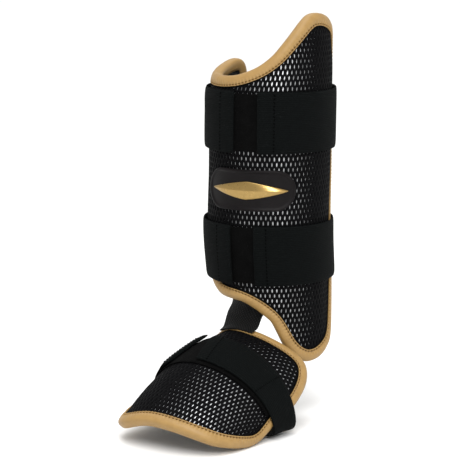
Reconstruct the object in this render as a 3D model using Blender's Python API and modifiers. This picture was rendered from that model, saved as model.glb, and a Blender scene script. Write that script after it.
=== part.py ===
"""Ankle guard: a shin guard with a foot guard hung below it on webbing, in its worn shape.

Metres, +Z up the leg, toes towards -Y. The origin lies on the leg's axis at ankle height.
Soft pieces lie on two forms: the leg, an oval tube, and the foot, an arch that slopes to the toes.
A place on a form is given as turn (degrees from its front or crest line, + towards +X), along
(height up the leg, or distance down the foot) and lift (distance out from the pad's face).
"""

import bpy
import numpy as np

MM = 0.001
SHIN_HEIGHT = 290 * MM          # shin guard, lowest point to peak
LEG_RADIUS = 50.5 * MM          # shin pad's face, mean
FOOT_LENGTH = 141 * MM          # foot guard along its crest, rear edge to toe edge
FOOT_HALF_WIDTH = 60 * MM       # foot pad's face, half across
FOOT_START = (7 * MM, -52 * MM, -4.3 * MM)   # crest line where along = 0
CREST_SHARE = 0.816             # share of the length over which the crest line bends
INSTEP_SLOPE = 6.4              # degrees below level at the start of the crest line
TOE_SLOPE = 37.5                # and at its toe end
TOES_OUT = 7                    # degrees of turn of the toes towards +X
PAD = 9.4 * MM                  # padded cloth in the middle
PAD_EDGE = 4.6 * MM             # and under its binding
PILLOW = 0.8 * MM               # how far the face sinks towards the binding
GAP = 0.35 * MM                 # between neighbouring pieces
LEATHER = 1.0 * MM              # binding's wall
BEAD = 1.6 * MM                 # how far the binding's bead stands above the face
BINDING_WIDTH = 10 * MM         # on the outer face
BINDING_BACK = 8.5 * MM         # on the inner face
RIM_LINE = 3 * MM               # from the binding's outer edge to the cloth's rim inside it
LIP_LINE = BINDING_WIDTH + 1 * MM   # from the same edge to just past the binding's lip
STRAP_WIDTH = 50 * MM
STRAP_THICK = 1.7 * MM
FOOT_STRAP_WIDTH = 36 * MM
FOOT_STRAP_MIDDLE = 0.277       # of FOOT_LENGTH, where the strap's middle crosses the instep
FOOT_STRAP_END = (-3, 9)        # turn of the strap's sewn end, degrees between its corners
FOOT_TAB_END = (-21, -12)       # the same of the tab's end
FOOT_TAB_SPREAD = 1.17          # the tab's width, as a share of the strap's
FOOT_PATCH = (-52, 75, 11)      # turns of the loop patch's ends, degrees between the last corners
LOOP_THICK = 1.4 * MM           # velvet loop patches
WEBBING_WIDTH = 38 * MM
WEBBING_THICK = 1.6 * MM
BADGE_MIDDLE = (20, 0.397)      # turn, share of SHIN_HEIGHT
BADGE_WIDTH = 80 * MM
BADGE_HEIGHT = 34 * MM
BADGE_THICK = 2.2 * MM
SOLE_DEPTH = 9 * MM             # foot strap below the pad's sides
STRAP_LIFT = BEAD + 0.7 * MM    # strap's inner face
LOOP_LIFT = 0.5 * MM            # loop patch's inner face
ON_LOOP = LOOP_LIFT + LOOP_THICK + GAP + 0.2 * MM   # inner face of a strap laid on its patch
BADGE_FLOOR = 1.3 * MM          # badge's middle, inside its rim
EMBLEM_WIDTH = 66 * MM
EMBLEM_HEIGHT = 15 * MM
EMBLEM_RISE = 1.9 * MM

# Leg form: height as a share of SHIN_HEIGHT, the rest as shares of LEG_RADIUS.
LEG_FORM = (
    # height, half width, half depth, centre x, centre y
    (-0.13, 0.960, 1.020, -0.030, 0.150),
    (0.00, 0.960, 1.020, -0.040, 0.120),
    (0.12, 0.985, 1.010, -0.020, 0.057),
    (0.24, 1.005, 1.010, -0.020, -0.004),
    (0.45, 1.005, 1.010, 0.000, 0.000),
    (0.60, 1.004, 1.012, 0.004, 0.007),
    (0.67, 0.998, 1.008, 0.009, 0.015),
    (0.74, 0.940, 0.954, 0.050, 0.058),
    (0.91, 0.905, 0.925, 0.022, 0.032),
)
# Foot form: along as a share of FOOT_LENGTH, the rest as shares of FOOT_HALF_WIDTH.
FOOT_FORM = (
    # along, half width towards +X, half width towards -X, half height
    (-0.20, 1.135, 0.800, 1.120),
    (0.00, 1.092, 0.780, 1.033),
    (0.41, 1.002, 0.840, 0.853),
    (0.82, 0.913, 0.868, 0.675),
    (1.00, 0.873, 0.880, 0.593),
)
# Edges of the two pads: turn in degrees, along as a share of SHIN_HEIGHT or FOOT_LENGTH.
# Each starts at a corner, and 'corner' marks where a side of the pad's grid begins.
SHIN_EDGE = (
    # turn, height, corner
    (-93, 0.235, 1), (-78, 0.214, 0), (-62, 0.192, 0), (-49, 0.163, 0), (-38, 0.130, 0),
    (-28, 0.101, 0), (-17, 0.083, 0), (-7, 0.076, 0), (3, 0.073, 0), (14, 0.068, 0), (26, 0.050, 0),
    (35, 0.030, 0), (41.5, 0.012, 0), (47.5, -0.022, 0), (54, -0.060, 0), (60, -0.083, 0),
    (68.5, -0.102, 0), (77, -0.112, 0), (87.5, -0.111, 0), (97, -0.103, 0), (108, -0.087, 0),
    (118, -0.064, 1), (124, -0.020, 0), (127, 0.040, 0), (129, 0.110, 0), (133, 0.190, 0),
    (140, 0.280, 0), (145, 0.400, 0), (147.5, 0.520, 0), (151, 0.620, 0), (154, 0.705, 0),
    (151, 0.782, 0), (139, 0.838, 1), (123, 0.866, 0), (107, 0.884, 0), (93, 0.890, 0),
    (82.5, 0.886, 0), (73, 0.870, 0), (61.5, 0.841, 0), (50, 0.809, 0), (39.5, 0.779, 0),
    (30.5, 0.758, 0), (21, 0.741, 0), (10, 0.728, 0), (-1.5, 0.719, 0), (-20, 0.715, 0),
    (-45, 0.718, 0), (-70, 0.733, 0), (-90, 0.745, 0), (-103, 0.730, 1), (-112, 0.675, 0),
    (-116, 0.580, 0), (-117, 0.466, 0), (-114.5, 0.350, 0), (-107, 0.268, 0),
)
FOOT_EDGE = (
    # turn, along, corner
    (-80, 0.000, 1), (-68, -0.085, 0), (-50, -0.142, 0), (-32, -0.150, 0), (-16, -0.121, 0),
    (-3, -0.095, 0), (8, -0.085, 0), (17, -0.092, 0), (26, -0.108, 0), (36, -0.140, 0),
    (45, -0.177, 0), (53, -0.180, 0), (61, -0.145, 0), (69.5, -0.071, 0), (77.5, 0.035, 1),
    (83.5, 0.135, 0), (88, 0.240, 0), (91.5, 0.345, 0), (97, 0.440, 0), (102, 0.545, 0),
    (101.5, 0.650, 1), (94, 0.740, 0), (82, 0.816, 0), (65, 0.872, 0), (40, 0.901, 0),
    (17, 0.908, 0), (-7, 0.908, 0), (-27, 0.920, 0), (-43, 0.915, 0), (-58, 0.877, 0),
    (-72, 0.775, 1), (-81, 0.624, 0), (-85, 0.454, 0), (-87, 0.284, 0), (-85, 0.128, 0),
)
SHIN_GRID = (26, 20)            # cells across and up
FOOT_GRID = (18, 14)
BADGE_GRID = (14, 4)
SMOOTHING = 1                   # rounds that soften the line past the lip

# Half the section of a binding, from the lip on the outer face round to the inner face:
# share of BINDING_WIDTH (or of BINDING_BACK on the inner side) in from the edge, lift in mm.
BINDING_OUTSIDE = (
    # inward, lift
    (1.00, 0.9), (0.74, 0.5), (0.62, 1.3), (0.38, 1.6), (0.13, 0.5),
    (0.00, -2.8), (0.06, -6.6), (0.38, -7.9), (1.00, -7.6),
)
# Shin straps: middle height as a share of SHIN_HEIGHT, the gap's two sides in degrees of turn,
# and the loop patch's two ends.
SHIN_STRAPS = (
    # name, height, gap from, gap to, patch from, patch to
    ("upper", 0.588, 8.0, 29.5, 0.0, 37.0),
    ("lower", 0.210, 6.5, 27.5, -1.0, 35.0),
)

BLACK = (0.012, 0.012, 0.013)
VELVET = (0.018, 0.018, 0.02)
GOLD_LEATHER = (0.55, 0.38, 0.16)
GOLD_PLASTIC = (0.75, 0.5, 0.2)


def table(rows):
    """The rows' columns, as arrays."""
    return np.array(rows, float).T


def smooth(x, stations, values):
    """The values at x, on a smooth line through the stations."""
    slope = np.gradient(values, stations)
    k = np.clip(np.searchsorted(stations, x) - 1, 0, len(stations) - 2)
    size = stations[k + 1] - stations[k]
    t = (x - stations[k]) / size
    start, end = values[k], values[k + 1]
    bend = (1 - t) * (slope[k] * size - end + start) - t * (slope[k + 1] * size - end + start)
    return start + t * (end - start) + t * (1 - t) * bend


def leg_face(turn, height):
    """A place on the shin pad's face."""
    stations, *columns = table(LEG_FORM)
    share = np.clip(height / SHIN_HEIGHT, stations[0], stations[-1])
    wide, deep, mid_x, mid_y = (LEG_RADIUS * smooth(share, stations, c) for c in columns)
    a = np.radians(turn)
    return np.stack([mid_x + wide * np.sin(a), mid_y - deep * np.cos(a), height + 0 * a], -1)


def foot_face(turn, along, sole=None):
    """A place on the foot pad's face. With a sole, the part below the sides is an arc that deep."""
    stations, *columns = table(FOOT_FORM)
    share = np.clip(along / FOOT_LENGTH, stations[0], stations[-1])
    right, left, rise = (FOOT_HALF_WIDTH * smooth(share, stations, c) for c in columns)
    first = np.radians(INSTEP_SLOPE)
    bend = np.radians(TOE_SLOPE - INSTEP_SLOPE) / (FOOT_LENGTH * CREST_SHARE)
    slope = first + bend * along
    ahead = (np.sin(slope) - np.sin(first)) / bend
    down = (np.cos(first) - np.cos(slope)) / bend
    a = np.radians(turn)
    out = rise * np.cos(a)
    x = np.where(np.sin(a) > 0, right, left) * np.sin(a)
    if sole is not None:
        x = np.where(out < 0, x * np.abs(np.sin(a)) ** 0.8, x)
        out = np.where(out < 0, out / (1 + np.abs(out / sole) ** 2.6) ** (1 / 2.6), out)
    out = out - rise
    y = -ahead - out * np.sin(slope)
    toes = np.radians(TOES_OUT)
    return np.stack([
        FOOT_START[0] + x * np.cos(toes) - y * np.sin(toes),
        FOOT_START[1] + x * np.sin(toes) + y * np.cos(toes),
        FOOT_START[2] - down + out * np.cos(slope),
    ], -1)


def band_face(turn, along):
    """A place on the foot strap's way: the foot pad's face, and a flatter arc under the sole."""
    return foot_face(turn, along, SOLE_DEPTH)


def form_on(face, outward):
    """A form: its place at (turn, along), moved out by a lift that is square to the face."""
    def form(turn, along, lift):
        step = 1e-4
        place = face(turn, along)
        across = face(turn + 100 * step, along) - face(turn - 100 * step, along)
        normal = np.cross(across, face(turn, along + step) - face(turn, along - step)) * outward
        normal /= np.linalg.norm(normal, axis=-1)[..., None]
        return place + normal * np.asarray(lift)[..., None]
    return form


def through(points, steps):
    """A smooth closed line through the points: steps samples to each span."""
    last, here, ahead, next_but_one = (np.roll(points, k, 0)[:, None] for k in (1, 0, -1, -2))
    t = np.linspace(0, 1, steps, endpoint=False)[None, :, None]
    line = 2 * here + (ahead - last) * t + (2 * last - 5 * here + 4 * ahead - next_but_one) * t**2
    line = line + (3 * here - last - 3 * ahead + next_but_one) * t**3
    return line.reshape(-1, points.shape[1]) / 2


def edge_of(rows, length, form, grid):
    """A pad's edge as evenly spaced (turn, along) samples, the sides' corners among them."""
    turn, share, corner = table(rows)
    steps = 24
    line = through(np.stack([turn, share * length], -1), steps)
    starts = np.flatnonzero(corner) * steps
    line = np.vstack([line, line[:1]])
    places = form(line[:, 0], line[:, 1], 0)
    run = np.concatenate([[0], np.cumsum(np.linalg.norm(np.diff(places, axis=0), axis=1))])
    found = []
    for side, cells in enumerate((grid[0], grid[1], grid[0], grid[1])):
        first = starts[side]
        last = starts[side + 1] if side < 3 else len(line) - 1
        wanted = np.linspace(run[first], run[last], cells, endpoint=False)
        found.append(np.stack([np.interp(wanted, run, line[:, k]) for k in (0, 1)], -1))
    return np.vstack(found)


def inset(edge, form, distance):
    """The edge moved inwards by a distance that is measured on the form's surface."""
    step = 1e-4
    turn, along = edge.T
    place = form(turn, along, 0)
    by_turn = (form(turn + step, along, 0) - place) / step
    by_along = (form(turn, along + step, 0) - place) / step
    ahead = np.roll(place, -1, 0) - np.roll(place, 1, 0)
    ahead /= np.linalg.norm(ahead, axis=1)[:, None]
    normal = np.cross(by_turn, by_along)
    normal /= np.linalg.norm(normal, axis=1)[:, None]
    inward = np.cross(normal, ahead) * distance
    pairs = ((by_turn, by_turn), (by_turn, by_along), (by_along, by_along))
    a, b, c = ((m * n).sum(1) for m, n in pairs)
    p, q = (by_turn * inward).sum(1), (by_along * inward).sum(1)
    whole = a * c - b * b
    return edge + np.stack([(c * p - b * q) / whole, (a * q - b * p) / whole], -1)


def lines_in(edge, form):
    """A pad's edge, its rim inside the binding, and a rounder line just past the binding's lip."""
    past = inset(edge, form, LIP_LINE)
    for _ in range(SMOOTHING):
        past = past / 2 + (np.roll(past, 1, 0) + np.roll(past, -1, 0)) / 4
    return edge, inset(edge, form, RIM_LINE), past


def between(lines, far):
    """The line at a distance in from the edge."""
    edge, rim, past = lines
    if far < RIM_LINE:
        return edge + (rim - edge) * far / RIM_LINE
    return rim + (past - rim) * (far - RIM_LINE) / (LIP_LINE - RIM_LINE)


def filled(ring, grid):
    """A closed ring of samples filled with a grid that blends its four sides."""
    across, up = grid
    low = ring[:across + 1]
    right = ring[across:across + up + 1]
    high = ring[across + up:2 * across + up + 1][::-1]
    left = np.vstack([ring[2 * across + up:], ring[:1]])[::-1]
    s = np.linspace(0, 1, across + 1)[None, :, None]
    t = np.linspace(0, 1, up + 1)[:, None, None]
    sides = (1 - t) * low[None] + t * high[None] + (1 - s) * left[:, None] + s * right[:, None]
    corners = (1 - s) * (1 - t) * low[0] + s * (1 - t) * low[-1] + (1 - s) * t * high[0]
    return sides - corners - s * t * high[-1]


def thing(name, points, faces, colour, rough=0.8, metal=0.0, flip=False):
    """A mesh object in the guard's collection, with its own material."""
    mesh = bpy.data.meshes.new(name)
    faces = [[int(k) for k in face][::-1 if flip else 1] for face in faces]
    mesh.from_pydata(np.asarray(points).tolist(), [], faces)
    mesh.update()
    made = bpy.data.objects.new(name, mesh)
    bpy.data.collections["ankle_guard"].objects.link(made)
    stuff = bpy.data.materials.new(name)
    stuff.use_nodes = True
    shader = stuff.node_tree.nodes["Principled BSDF"]
    shader.inputs["Base Color"].default_value = (*colour, 1)
    shader.inputs["Roughness"].default_value = rough
    shader.inputs["Metallic"].default_value = metal
    mesh.materials.append(stuff)
    mesh.shade_smooth()
    return made


def cells(rows, columns, closed=False):
    """The quads of a grid of points, row after row. A closed grid joins its last row to its first."""
    i, j = np.meshgrid(np.arange(rows if closed else rows - 1), np.arange(columns - 1), indexing="ij")
    here, above = i * columns + j, (i + 1) % rows * columns + j
    return np.stack([here, here + 1, above + 1, above], -1).reshape(-1, 4)


def solidify(made, thick, group=None, thin=1.0):
    """Gives an open surface its thickness, inwards from the face."""
    walls = made.modifiers.new("wall", "SOLIDIFY")
    walls.thickness = thick
    walls.offset = -1
    walls.use_even_offset = False
    if group:
        walls.vertex_group = group
        walls.thickness_vertex_group = thin
    return made


def pad(name, lines, form, grid, colour):
    """A padded sheet: a grid inside its edge, its face sinking a little towards the binding."""
    rim = lines[1]
    inner = filled(lines[2], grid)
    rows, columns = grid[1] + 1, grid[0] + 1
    i, j = np.meshgrid(np.arange(rows), np.arange(columns), indexing="ij")
    depth = np.minimum(np.minimum(i, rows - 1 - i), np.minimum(j, columns - 1 - j))
    full = np.sin(np.pi / 2 * np.clip(depth / 2, 0, 1)).reshape(-1)
    inner = inner.reshape(-1, 2)
    points = form(inner[:, 0], inner[:, 1], -PILLOW * (1 - full))
    ring = form(rim[:, 0], rim[:, 1], -PILLOW)
    around = ring_of(rows, columns)
    count = len(around)
    first = len(points)
    outer = np.arange(count) + first
    strip = np.stack([outer, np.roll(outer, -1), np.roll(around, -1), around], -1)
    faces = np.vstack([cells(rows, columns), strip])
    made = thing(name, np.vstack([points, ring]), faces, colour, flip=form is FOOT)
    group = made.vertex_groups.new(name="full")
    for index, weight in enumerate(np.concatenate([full, np.zeros(count)])):
        group.add([index], float(weight), "REPLACE")
    return solidify(made, PAD, "full", PAD_EDGE / PAD)


def ring_of(rows, columns):
    """A grid's border, in the order of the edge it was filled from."""
    low = np.arange(columns - 1)
    right = np.arange(rows - 1) * columns + columns - 1
    high = np.arange(columns - 1)[::-1] + 1 + (rows - 1) * columns
    left = (np.arange(rows - 1)[::-1] + 1) * columns
    return np.concatenate([low, right, high, left])


def binding(name, lines, form, colour):
    """A folded strip round a pad's edge: a closed section carried round the edge."""
    inward, lift = table(BINDING_OUTSIDE)
    back = np.arange(len(inward)) > 5
    inward = inward * np.where(back, BINDING_BACK, BINDING_WIDTH)
    lift = lift * MM
    face = -PILLOW + GAP
    rear = -PILLOW - PAD_EDGE - 3 * GAP
    slot = LEATHER
    section = list(zip(inward, lift)) + [
        (BINDING_BACK, rear), (slot + 0.7 * MM, rear),
        (slot, face + 2 * GAP), (BINDING_WIDTH, face + GAP),
    ]
    points = np.stack([form(*between(lines, far).T, high) for far, high in section], 1)
    count, around = points.shape[:2]
    i, j = np.meshgrid(np.arange(count), np.arange(around), indexing="ij")
    ahead, beside = (i + 1) % count, (j + 1) % around
    faces = np.stack([
        i * around + j, ahead * around + j, ahead * around + beside, i * around + beside,
    ], -1).reshape(-1, 4)
    return thing(name, points.reshape(-1, 3), faces, colour, 0.45, flip=form is LEG)


def strip(name, form, turns, middle, width, lift, thick, colour, across=2, ends=(0, 0), **more):
    """A flat band on a form: turns, middle, width and lift run along it.

    ends gives how far each end slants: degrees between its two corners.
    """
    turns = np.asarray(turns, float)
    middle, width, lift = (np.broadcast_to(v, turns.shape) for v in (middle, width, lift))
    side = np.linspace(-0.5, 0.5, across + 1)
    place = np.linspace(0, 1, len(turns))
    slant = (ends[0] * (1 - place) ** 8 + ends[1] * place ** 8)[:, None] * side[None]
    t = turns[:, None] + slant
    u = middle[:, None] + width[:, None] * side[None]
    points = form(t, u, np.broadcast_to(lift[:, None] + thick, t.shape), **more)
    faces = cells(len(turns), across + 1)
    made = thing(name, points.reshape(-1, 3), faces, colour, 0.9, flip=form is LEG)
    return solidify(made, thick)


def shin_strap(gap_from, gap_to):
    """Stations of a strap from the gap's right side round the back to its left side: turn and lift."""
    rows = (
        # turn, lift
        (gap_to, ON_LOOP), (gap_to + 9, ON_LOOP), (gap_to + 22, STRAP_LIFT), (120, STRAP_LIFT),
        (156, STRAP_LIFT), (185, STRAP_LIFT - 1.6 * MM), (216, STRAP_LIFT - 1 * MM),
        (236, STRAP_LIFT), (gap_from + 360 - 30, ON_LOOP),
        (gap_from + 360 - 9, ON_LOOP + 0.5 * MM), (gap_from + 360, ON_LOOP + 0.9 * MM),
    )
    turn, lift = table(rows)
    fine = np.linspace(gap_to, gap_from + 360, 57)
    return fine, np.interp(fine, turn, lift)


def foot_strap():
    """The strap over the instep and under the sole, the wide tab that closes it, and its loop patch."""
    middle = FOOT_STRAP_MIDDLE * FOOT_LENGTH
    start, start_slant = FOOT_STRAP_END
    end, end_slant = FOOT_TAB_END
    rows = (
        # turn, lift, width share
        (start, ON_LOOP, 1), (82, ON_LOOP, 1), (92, STRAP_LIFT, 1), (120, STRAP_LIFT, 1),
        (180, STRAP_LIFT, 1), (285, STRAP_LIFT, 1), (300, ON_LOOP, FOOT_TAB_SPREAD),
        (end + 345, ON_LOOP, FOOT_TAB_SPREAD), (end + 360, ON_LOOP + 0.2 * MM, FOOT_TAB_SPREAD),
    )
    turn, lift, wide = table(rows)
    fine = np.linspace(turn[0], turn[-1], 49)
    strip("foot_strap", BAND, fine, middle, FOOT_STRAP_WIDTH * np.interp(fine, turn, wide),
          np.interp(fine, turn, lift), STRAP_THICK, BLACK, across=3, ends=(start_slant, end_slant))
    first, last, slant = FOOT_PATCH
    strip("foot_loop_patch", FOOT, np.linspace(first, last, 25), middle,
          FOOT_STRAP_WIDTH * FOOT_TAB_SPREAD, LOOP_LIFT, LOOP_THICK, VELVET, across=3, ends=(0, slant))


def ankle_webbing():
    """Webbing from behind the shin guard's lower edge down over the foot guard's rear binding."""
    s = np.linspace(-0.5, 0.5, 7) * WEBBING_WIDTH
    hanging = (
        # middle x, outer face y, height, how far the sides bend back: shares of WEBBING_WIDTH
        (0.10, -0.922, 1.35, 0.16), (0.095, -0.922, 1.00, 0.16), (0.090, -0.927, 0.65, 0.16),
        (0.080, -0.927, 0.36, 0.15), (0.030, -0.984, 0.16, 0.12),
    )
    laid = (
        # along as a share of FOOT_LENGTH, lift above the binding's bead in mm
        (-0.062, 2.1), (-0.050, 1.7), (-0.038, 1.4), (-0.027, 1.1), (-0.016, 0.9),
    )
    rows = []
    for x, y, z, bend in np.array(hanging) * WEBBING_WIDTH:
        rows.append(np.stack([x + s, y + bend * (2 * s / WEBBING_WIDTH) ** 2, z + 0 * s], -1))
    for share, lift in laid:
        turn = np.degrees(np.arcsin(s / FOOT_HALF_WIDTH * np.where(s > 0, 0.80, 1.05))) - 1
        along = np.full(len(s), share * FOOT_LENGTH)
        rows.append(FOOT(turn, along, BEAD + lift * MM))
    rows = np.array(rows)
    n = len(hanging)
    start, end = rows[n - 1], rows[n]
    leave, arrive = rows[n - 1] - rows[n - 2], rows[n + 1] - rows[n]
    between_rows = []
    for t in (0.25, 0.5, 0.75):
        between_rows.append(
            start * (1 + 2 * t) * (1 - t) ** 2 + end * (3 - 2 * t) * t**2
            + leave * t * (1 - t) ** 2 + arrive * (t - 1) * t**2
        )
    points = np.concatenate([rows[:n], between_rows, rows[n:]])
    made = thing("ankle_webbing", points.reshape(-1, 3), cells(len(points), len(s)), BLACK, flip=True)
    solidify(made, WEBBING_THICK)


def badge_ring(inward):
    """The badge's outline, a bar with round ends, moved inwards."""
    round_end = np.radians(np.linspace(-90, 90, BADGE_GRID[1] + 5))
    half = (BADGE_WIDTH - BADGE_HEIGHT) / 2
    radius = BADGE_HEIGHT / 2 - inward
    low = np.linspace(-half, half, BADGE_GRID[0] - 3)[:-1]
    right = np.stack([half + radius * np.cos(round_end), radius * np.sin(round_end)], -1)
    line = np.vstack([
        np.stack([low, -radius + 0 * low], -1), right[:-1],
        np.stack([-low, radius + 0 * low], -1), -right[:-1],
    ])
    x, y = np.roll(line, 2, 0).T
    turn, share = BADGE_MIDDLE
    return np.stack([turn + x * np.degrees(1 / LEG_RADIUS), share * SHIN_HEIGHT + y], -1)


def badge():
    """A plain badge between the shin guard's straps: a rubber patch with a rim, a lozenge on it."""
    lift = LOOP_LIFT
    # inward in mm, lift
    section = (
        (0, lift), (0, lift + BADGE_THICK * 0.7), (0.8, lift + BADGE_THICK),
        (2.2, lift + BADGE_THICK), (3.4, lift + BADGE_FLOOR),
    )
    grid = BADGE_GRID
    rings = [badge_ring(inward * MM) for inward, _ in section]
    lines = [LEG(*ring.T, high) for ring, (_, high) in zip(rings, section)]
    count = len(rings[0])
    around = np.arange(count)
    faces = []
    for k in range(len(lines) - 1):
        a, b = around + k * count, np.roll(around, -1) + k * count
        faces.append(np.stack([a, b, b + count, a + count], -1))
    points = np.vstack(lines)
    rows, columns = grid[1] + 1, grid[0] + 1
    for which, step in ((0, -1), (len(lines) - 1, 1)):
        sheet = filled(rings[which], grid).reshape(-1, 2)
        index = np.arange(len(sheet)) + len(points)
        index[ring_of(rows, columns)] = around + which * count
        faces.append(index[cells(rows, columns)][:, ::step])
        points = np.vstack([points, LEG(*sheet.T, section[which][1])])
    used, index = np.unique(np.vstack(faces), return_inverse=True)
    thing("badge_patch", points[used], index.reshape(-1, 4), BLACK, 0.5)

    share = np.linspace(-1, 1, 15)
    middle = BADGE_MIDDLE[1] * SHIN_HEIGHT
    half_turn = EMBLEM_WIDTH / 2 * np.degrees(1 / LEG_RADIUS)
    high = EMBLEM_HEIGHT / 2 * (1 - 0.93 * np.abs(share) ** 1.3)
    base = lift + BADGE_FLOOR + GAP
    top = base + EMBLEM_RISE * (1 - 0.6 * np.abs(share) ** 2)
    turn = BADGE_MIDDLE[0] + share * half_turn
    brim = base + 0.4 * MM
    lines = [
        LEG(turn, middle - high, base), LEG(turn, middle - high, brim), LEG(turn, middle, top),
        LEG(turn, middle + high, brim), LEG(turn, middle + high, base),
    ]
    points = np.stack(lines, 1).reshape(-1, 3)
    j = np.arange(5)
    faces = [(5 * i + k, 5 * i + 5 + k, 5 * i + 5 + (k + 1) % 5, 5 * i + (k + 1) % 5)
             for i in range(len(share) - 1) for k in j]
    faces += [tuple(j), tuple(len(points) - 1 - j)]
    thing("badge_emblem", points, faces, GOLD_PLASTIC, 0.3, 0.6)


LEG = form_on(leg_face, 1)
FOOT = form_on(foot_face, -1)
BAND = form_on(band_face, -1)


def build():
    for old in list(bpy.data.objects):
        bpy.data.objects.remove(old)
    home = bpy.data.collections.new("ankle_guard")
    bpy.context.scene.collection.children.link(home)

    shin = lines_in(edge_of(SHIN_EDGE, SHIN_HEIGHT, LEG, SHIN_GRID), LEG)
    toes = lines_in(edge_of(FOOT_EDGE, FOOT_LENGTH, FOOT, FOOT_GRID), FOOT)
    pad("shin_pad", shin, LEG, SHIN_GRID, BLACK)
    binding("shin_binding", shin, LEG, GOLD_LEATHER)
    pad("foot_pad", toes, FOOT, FOOT_GRID, BLACK)
    binding("foot_binding", toes, FOOT, GOLD_LEATHER)

    for name, height, gap_from, gap_to, patch_from, patch_to in SHIN_STRAPS:
        middle = height * SHIN_HEIGHT
        turns, lift = shin_strap(gap_from, gap_to)
        strip(name + "_strap", LEG, turns, middle, STRAP_WIDTH, lift, STRAP_THICK, BLACK)
        strip(name + "_loop_patch", LEG, np.linspace(patch_from, patch_to, 9), middle,
              STRAP_WIDTH * 0.94, LOOP_LIFT, LOOP_THICK, VELVET, across=4)

    foot_strap()
    ankle_webbing()
    badge()


build()
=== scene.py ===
"""Looks of the ankle guard: mesh cover, film, padding, bindings, straps, webbing and badge.

Metres, +Z up the leg, toes towards -Y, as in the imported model. Soft pieces lie on two forms, the
leg and the foot. A place on a form is given as turn (degrees from its front or crest line, +
towards +X), along (height up the leg, or distance down the foot) and lift (out from the face).
"""

import math

import bmesh
import bpy
import numpy as np
from bpy.props import FloatProperty, FloatVectorProperty, IntProperty, PointerProperty
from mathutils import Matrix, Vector


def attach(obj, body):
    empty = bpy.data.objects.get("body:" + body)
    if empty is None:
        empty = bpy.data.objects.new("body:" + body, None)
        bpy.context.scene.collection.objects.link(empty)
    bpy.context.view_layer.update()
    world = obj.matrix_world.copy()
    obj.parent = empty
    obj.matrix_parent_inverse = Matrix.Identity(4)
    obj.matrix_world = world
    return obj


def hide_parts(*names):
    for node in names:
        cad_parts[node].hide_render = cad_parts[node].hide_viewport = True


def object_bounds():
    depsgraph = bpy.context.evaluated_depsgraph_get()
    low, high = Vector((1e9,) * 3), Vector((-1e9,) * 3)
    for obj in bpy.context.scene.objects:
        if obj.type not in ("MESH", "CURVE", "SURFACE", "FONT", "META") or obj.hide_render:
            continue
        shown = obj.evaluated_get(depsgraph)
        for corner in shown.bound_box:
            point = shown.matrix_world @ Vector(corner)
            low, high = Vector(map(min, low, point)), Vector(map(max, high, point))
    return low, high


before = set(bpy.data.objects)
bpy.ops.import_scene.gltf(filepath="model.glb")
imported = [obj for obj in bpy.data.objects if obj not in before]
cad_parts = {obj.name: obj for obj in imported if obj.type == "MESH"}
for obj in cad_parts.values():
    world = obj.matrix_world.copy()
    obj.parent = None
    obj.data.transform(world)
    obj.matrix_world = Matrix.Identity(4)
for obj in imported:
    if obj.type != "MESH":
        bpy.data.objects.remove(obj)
CAD_BOX = [list(map(float, corner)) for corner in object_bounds()]

bl_info = {
    "name": "Ankle guard",
    "version": (1, 0, 0),
    "blender": (4, 5, 0),
    "location": "View3D > Sidebar > Ankle guard",
    "description": "Builds the soft pieces, materials and stage of an ankle guard",
    "category": "Object",
}

MM = 0.001
SHIN_HEIGHT = 290 * MM
LEG_RADIUS = 50.5 * MM
FOOT_LENGTH = 141 * MM
FOOT_HALF_WIDTH = 60 * MM
FOOT_START = (7 * MM, -52 * MM, -4.3 * MM)
CREST_SHARE = 0.816
INSTEP_SLOPE = 6.4
TOE_SLOPE = 37.5
TOES_OUT = 7
SOLE_DEPTH = 9 * MM
PAD = 9.4 * MM
PAD_EDGE = 4.6 * MM
PILLOW = 0.8 * MM
GAP = 0.35 * MM
LEATHER = 1.0 * MM
BEAD = 1.6 * MM
BINDING_WIDTH = 10 * MM
BINDING_BACK = 8.5 * MM
RIM_LINE = 3 * MM
LIP_LINE = BINDING_WIDTH + 1 * MM
STRAP_LIFT = BEAD + 0.7 * MM
STRAP_THICK = 1.7 * MM
LOOP_THICK = 1.4 * MM
LOOP_LIFT = 0.5 * MM
ON_LOOP = LOOP_LIFT + LOOP_THICK + GAP + 0.2 * MM
BADGE_MIDDLE = (20, 0.397)

# height, half width, half depth, centre x, centre y
LEG_FORM = (
    (-0.13, 0.960, 1.020, -0.030, 0.150),
    (0.00, 0.960, 1.020, -0.040, 0.120),
    (0.12, 0.985, 1.010, -0.020, 0.057),
    (0.24, 1.005, 1.010, -0.020, -0.004),
    (0.45, 1.005, 1.010, 0.000, 0.000),
    (0.60, 1.004, 1.012, 0.004, 0.007),
    (0.67, 0.998, 1.008, 0.009, 0.015),
    (0.74, 0.940, 0.954, 0.050, 0.058),
    (0.91, 0.905, 0.925, 0.022, 0.032),
)
# along, half width towards +X, half width towards -X, half height
FOOT_FORM = (
    (-0.20, 1.135, 0.800, 1.120),
    (0.00, 1.092, 0.780, 1.033),
    (0.41, 1.002, 0.840, 0.853),
    (0.82, 0.913, 0.868, 0.675),
    (1.00, 0.873, 0.880, 0.593),
)
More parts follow.
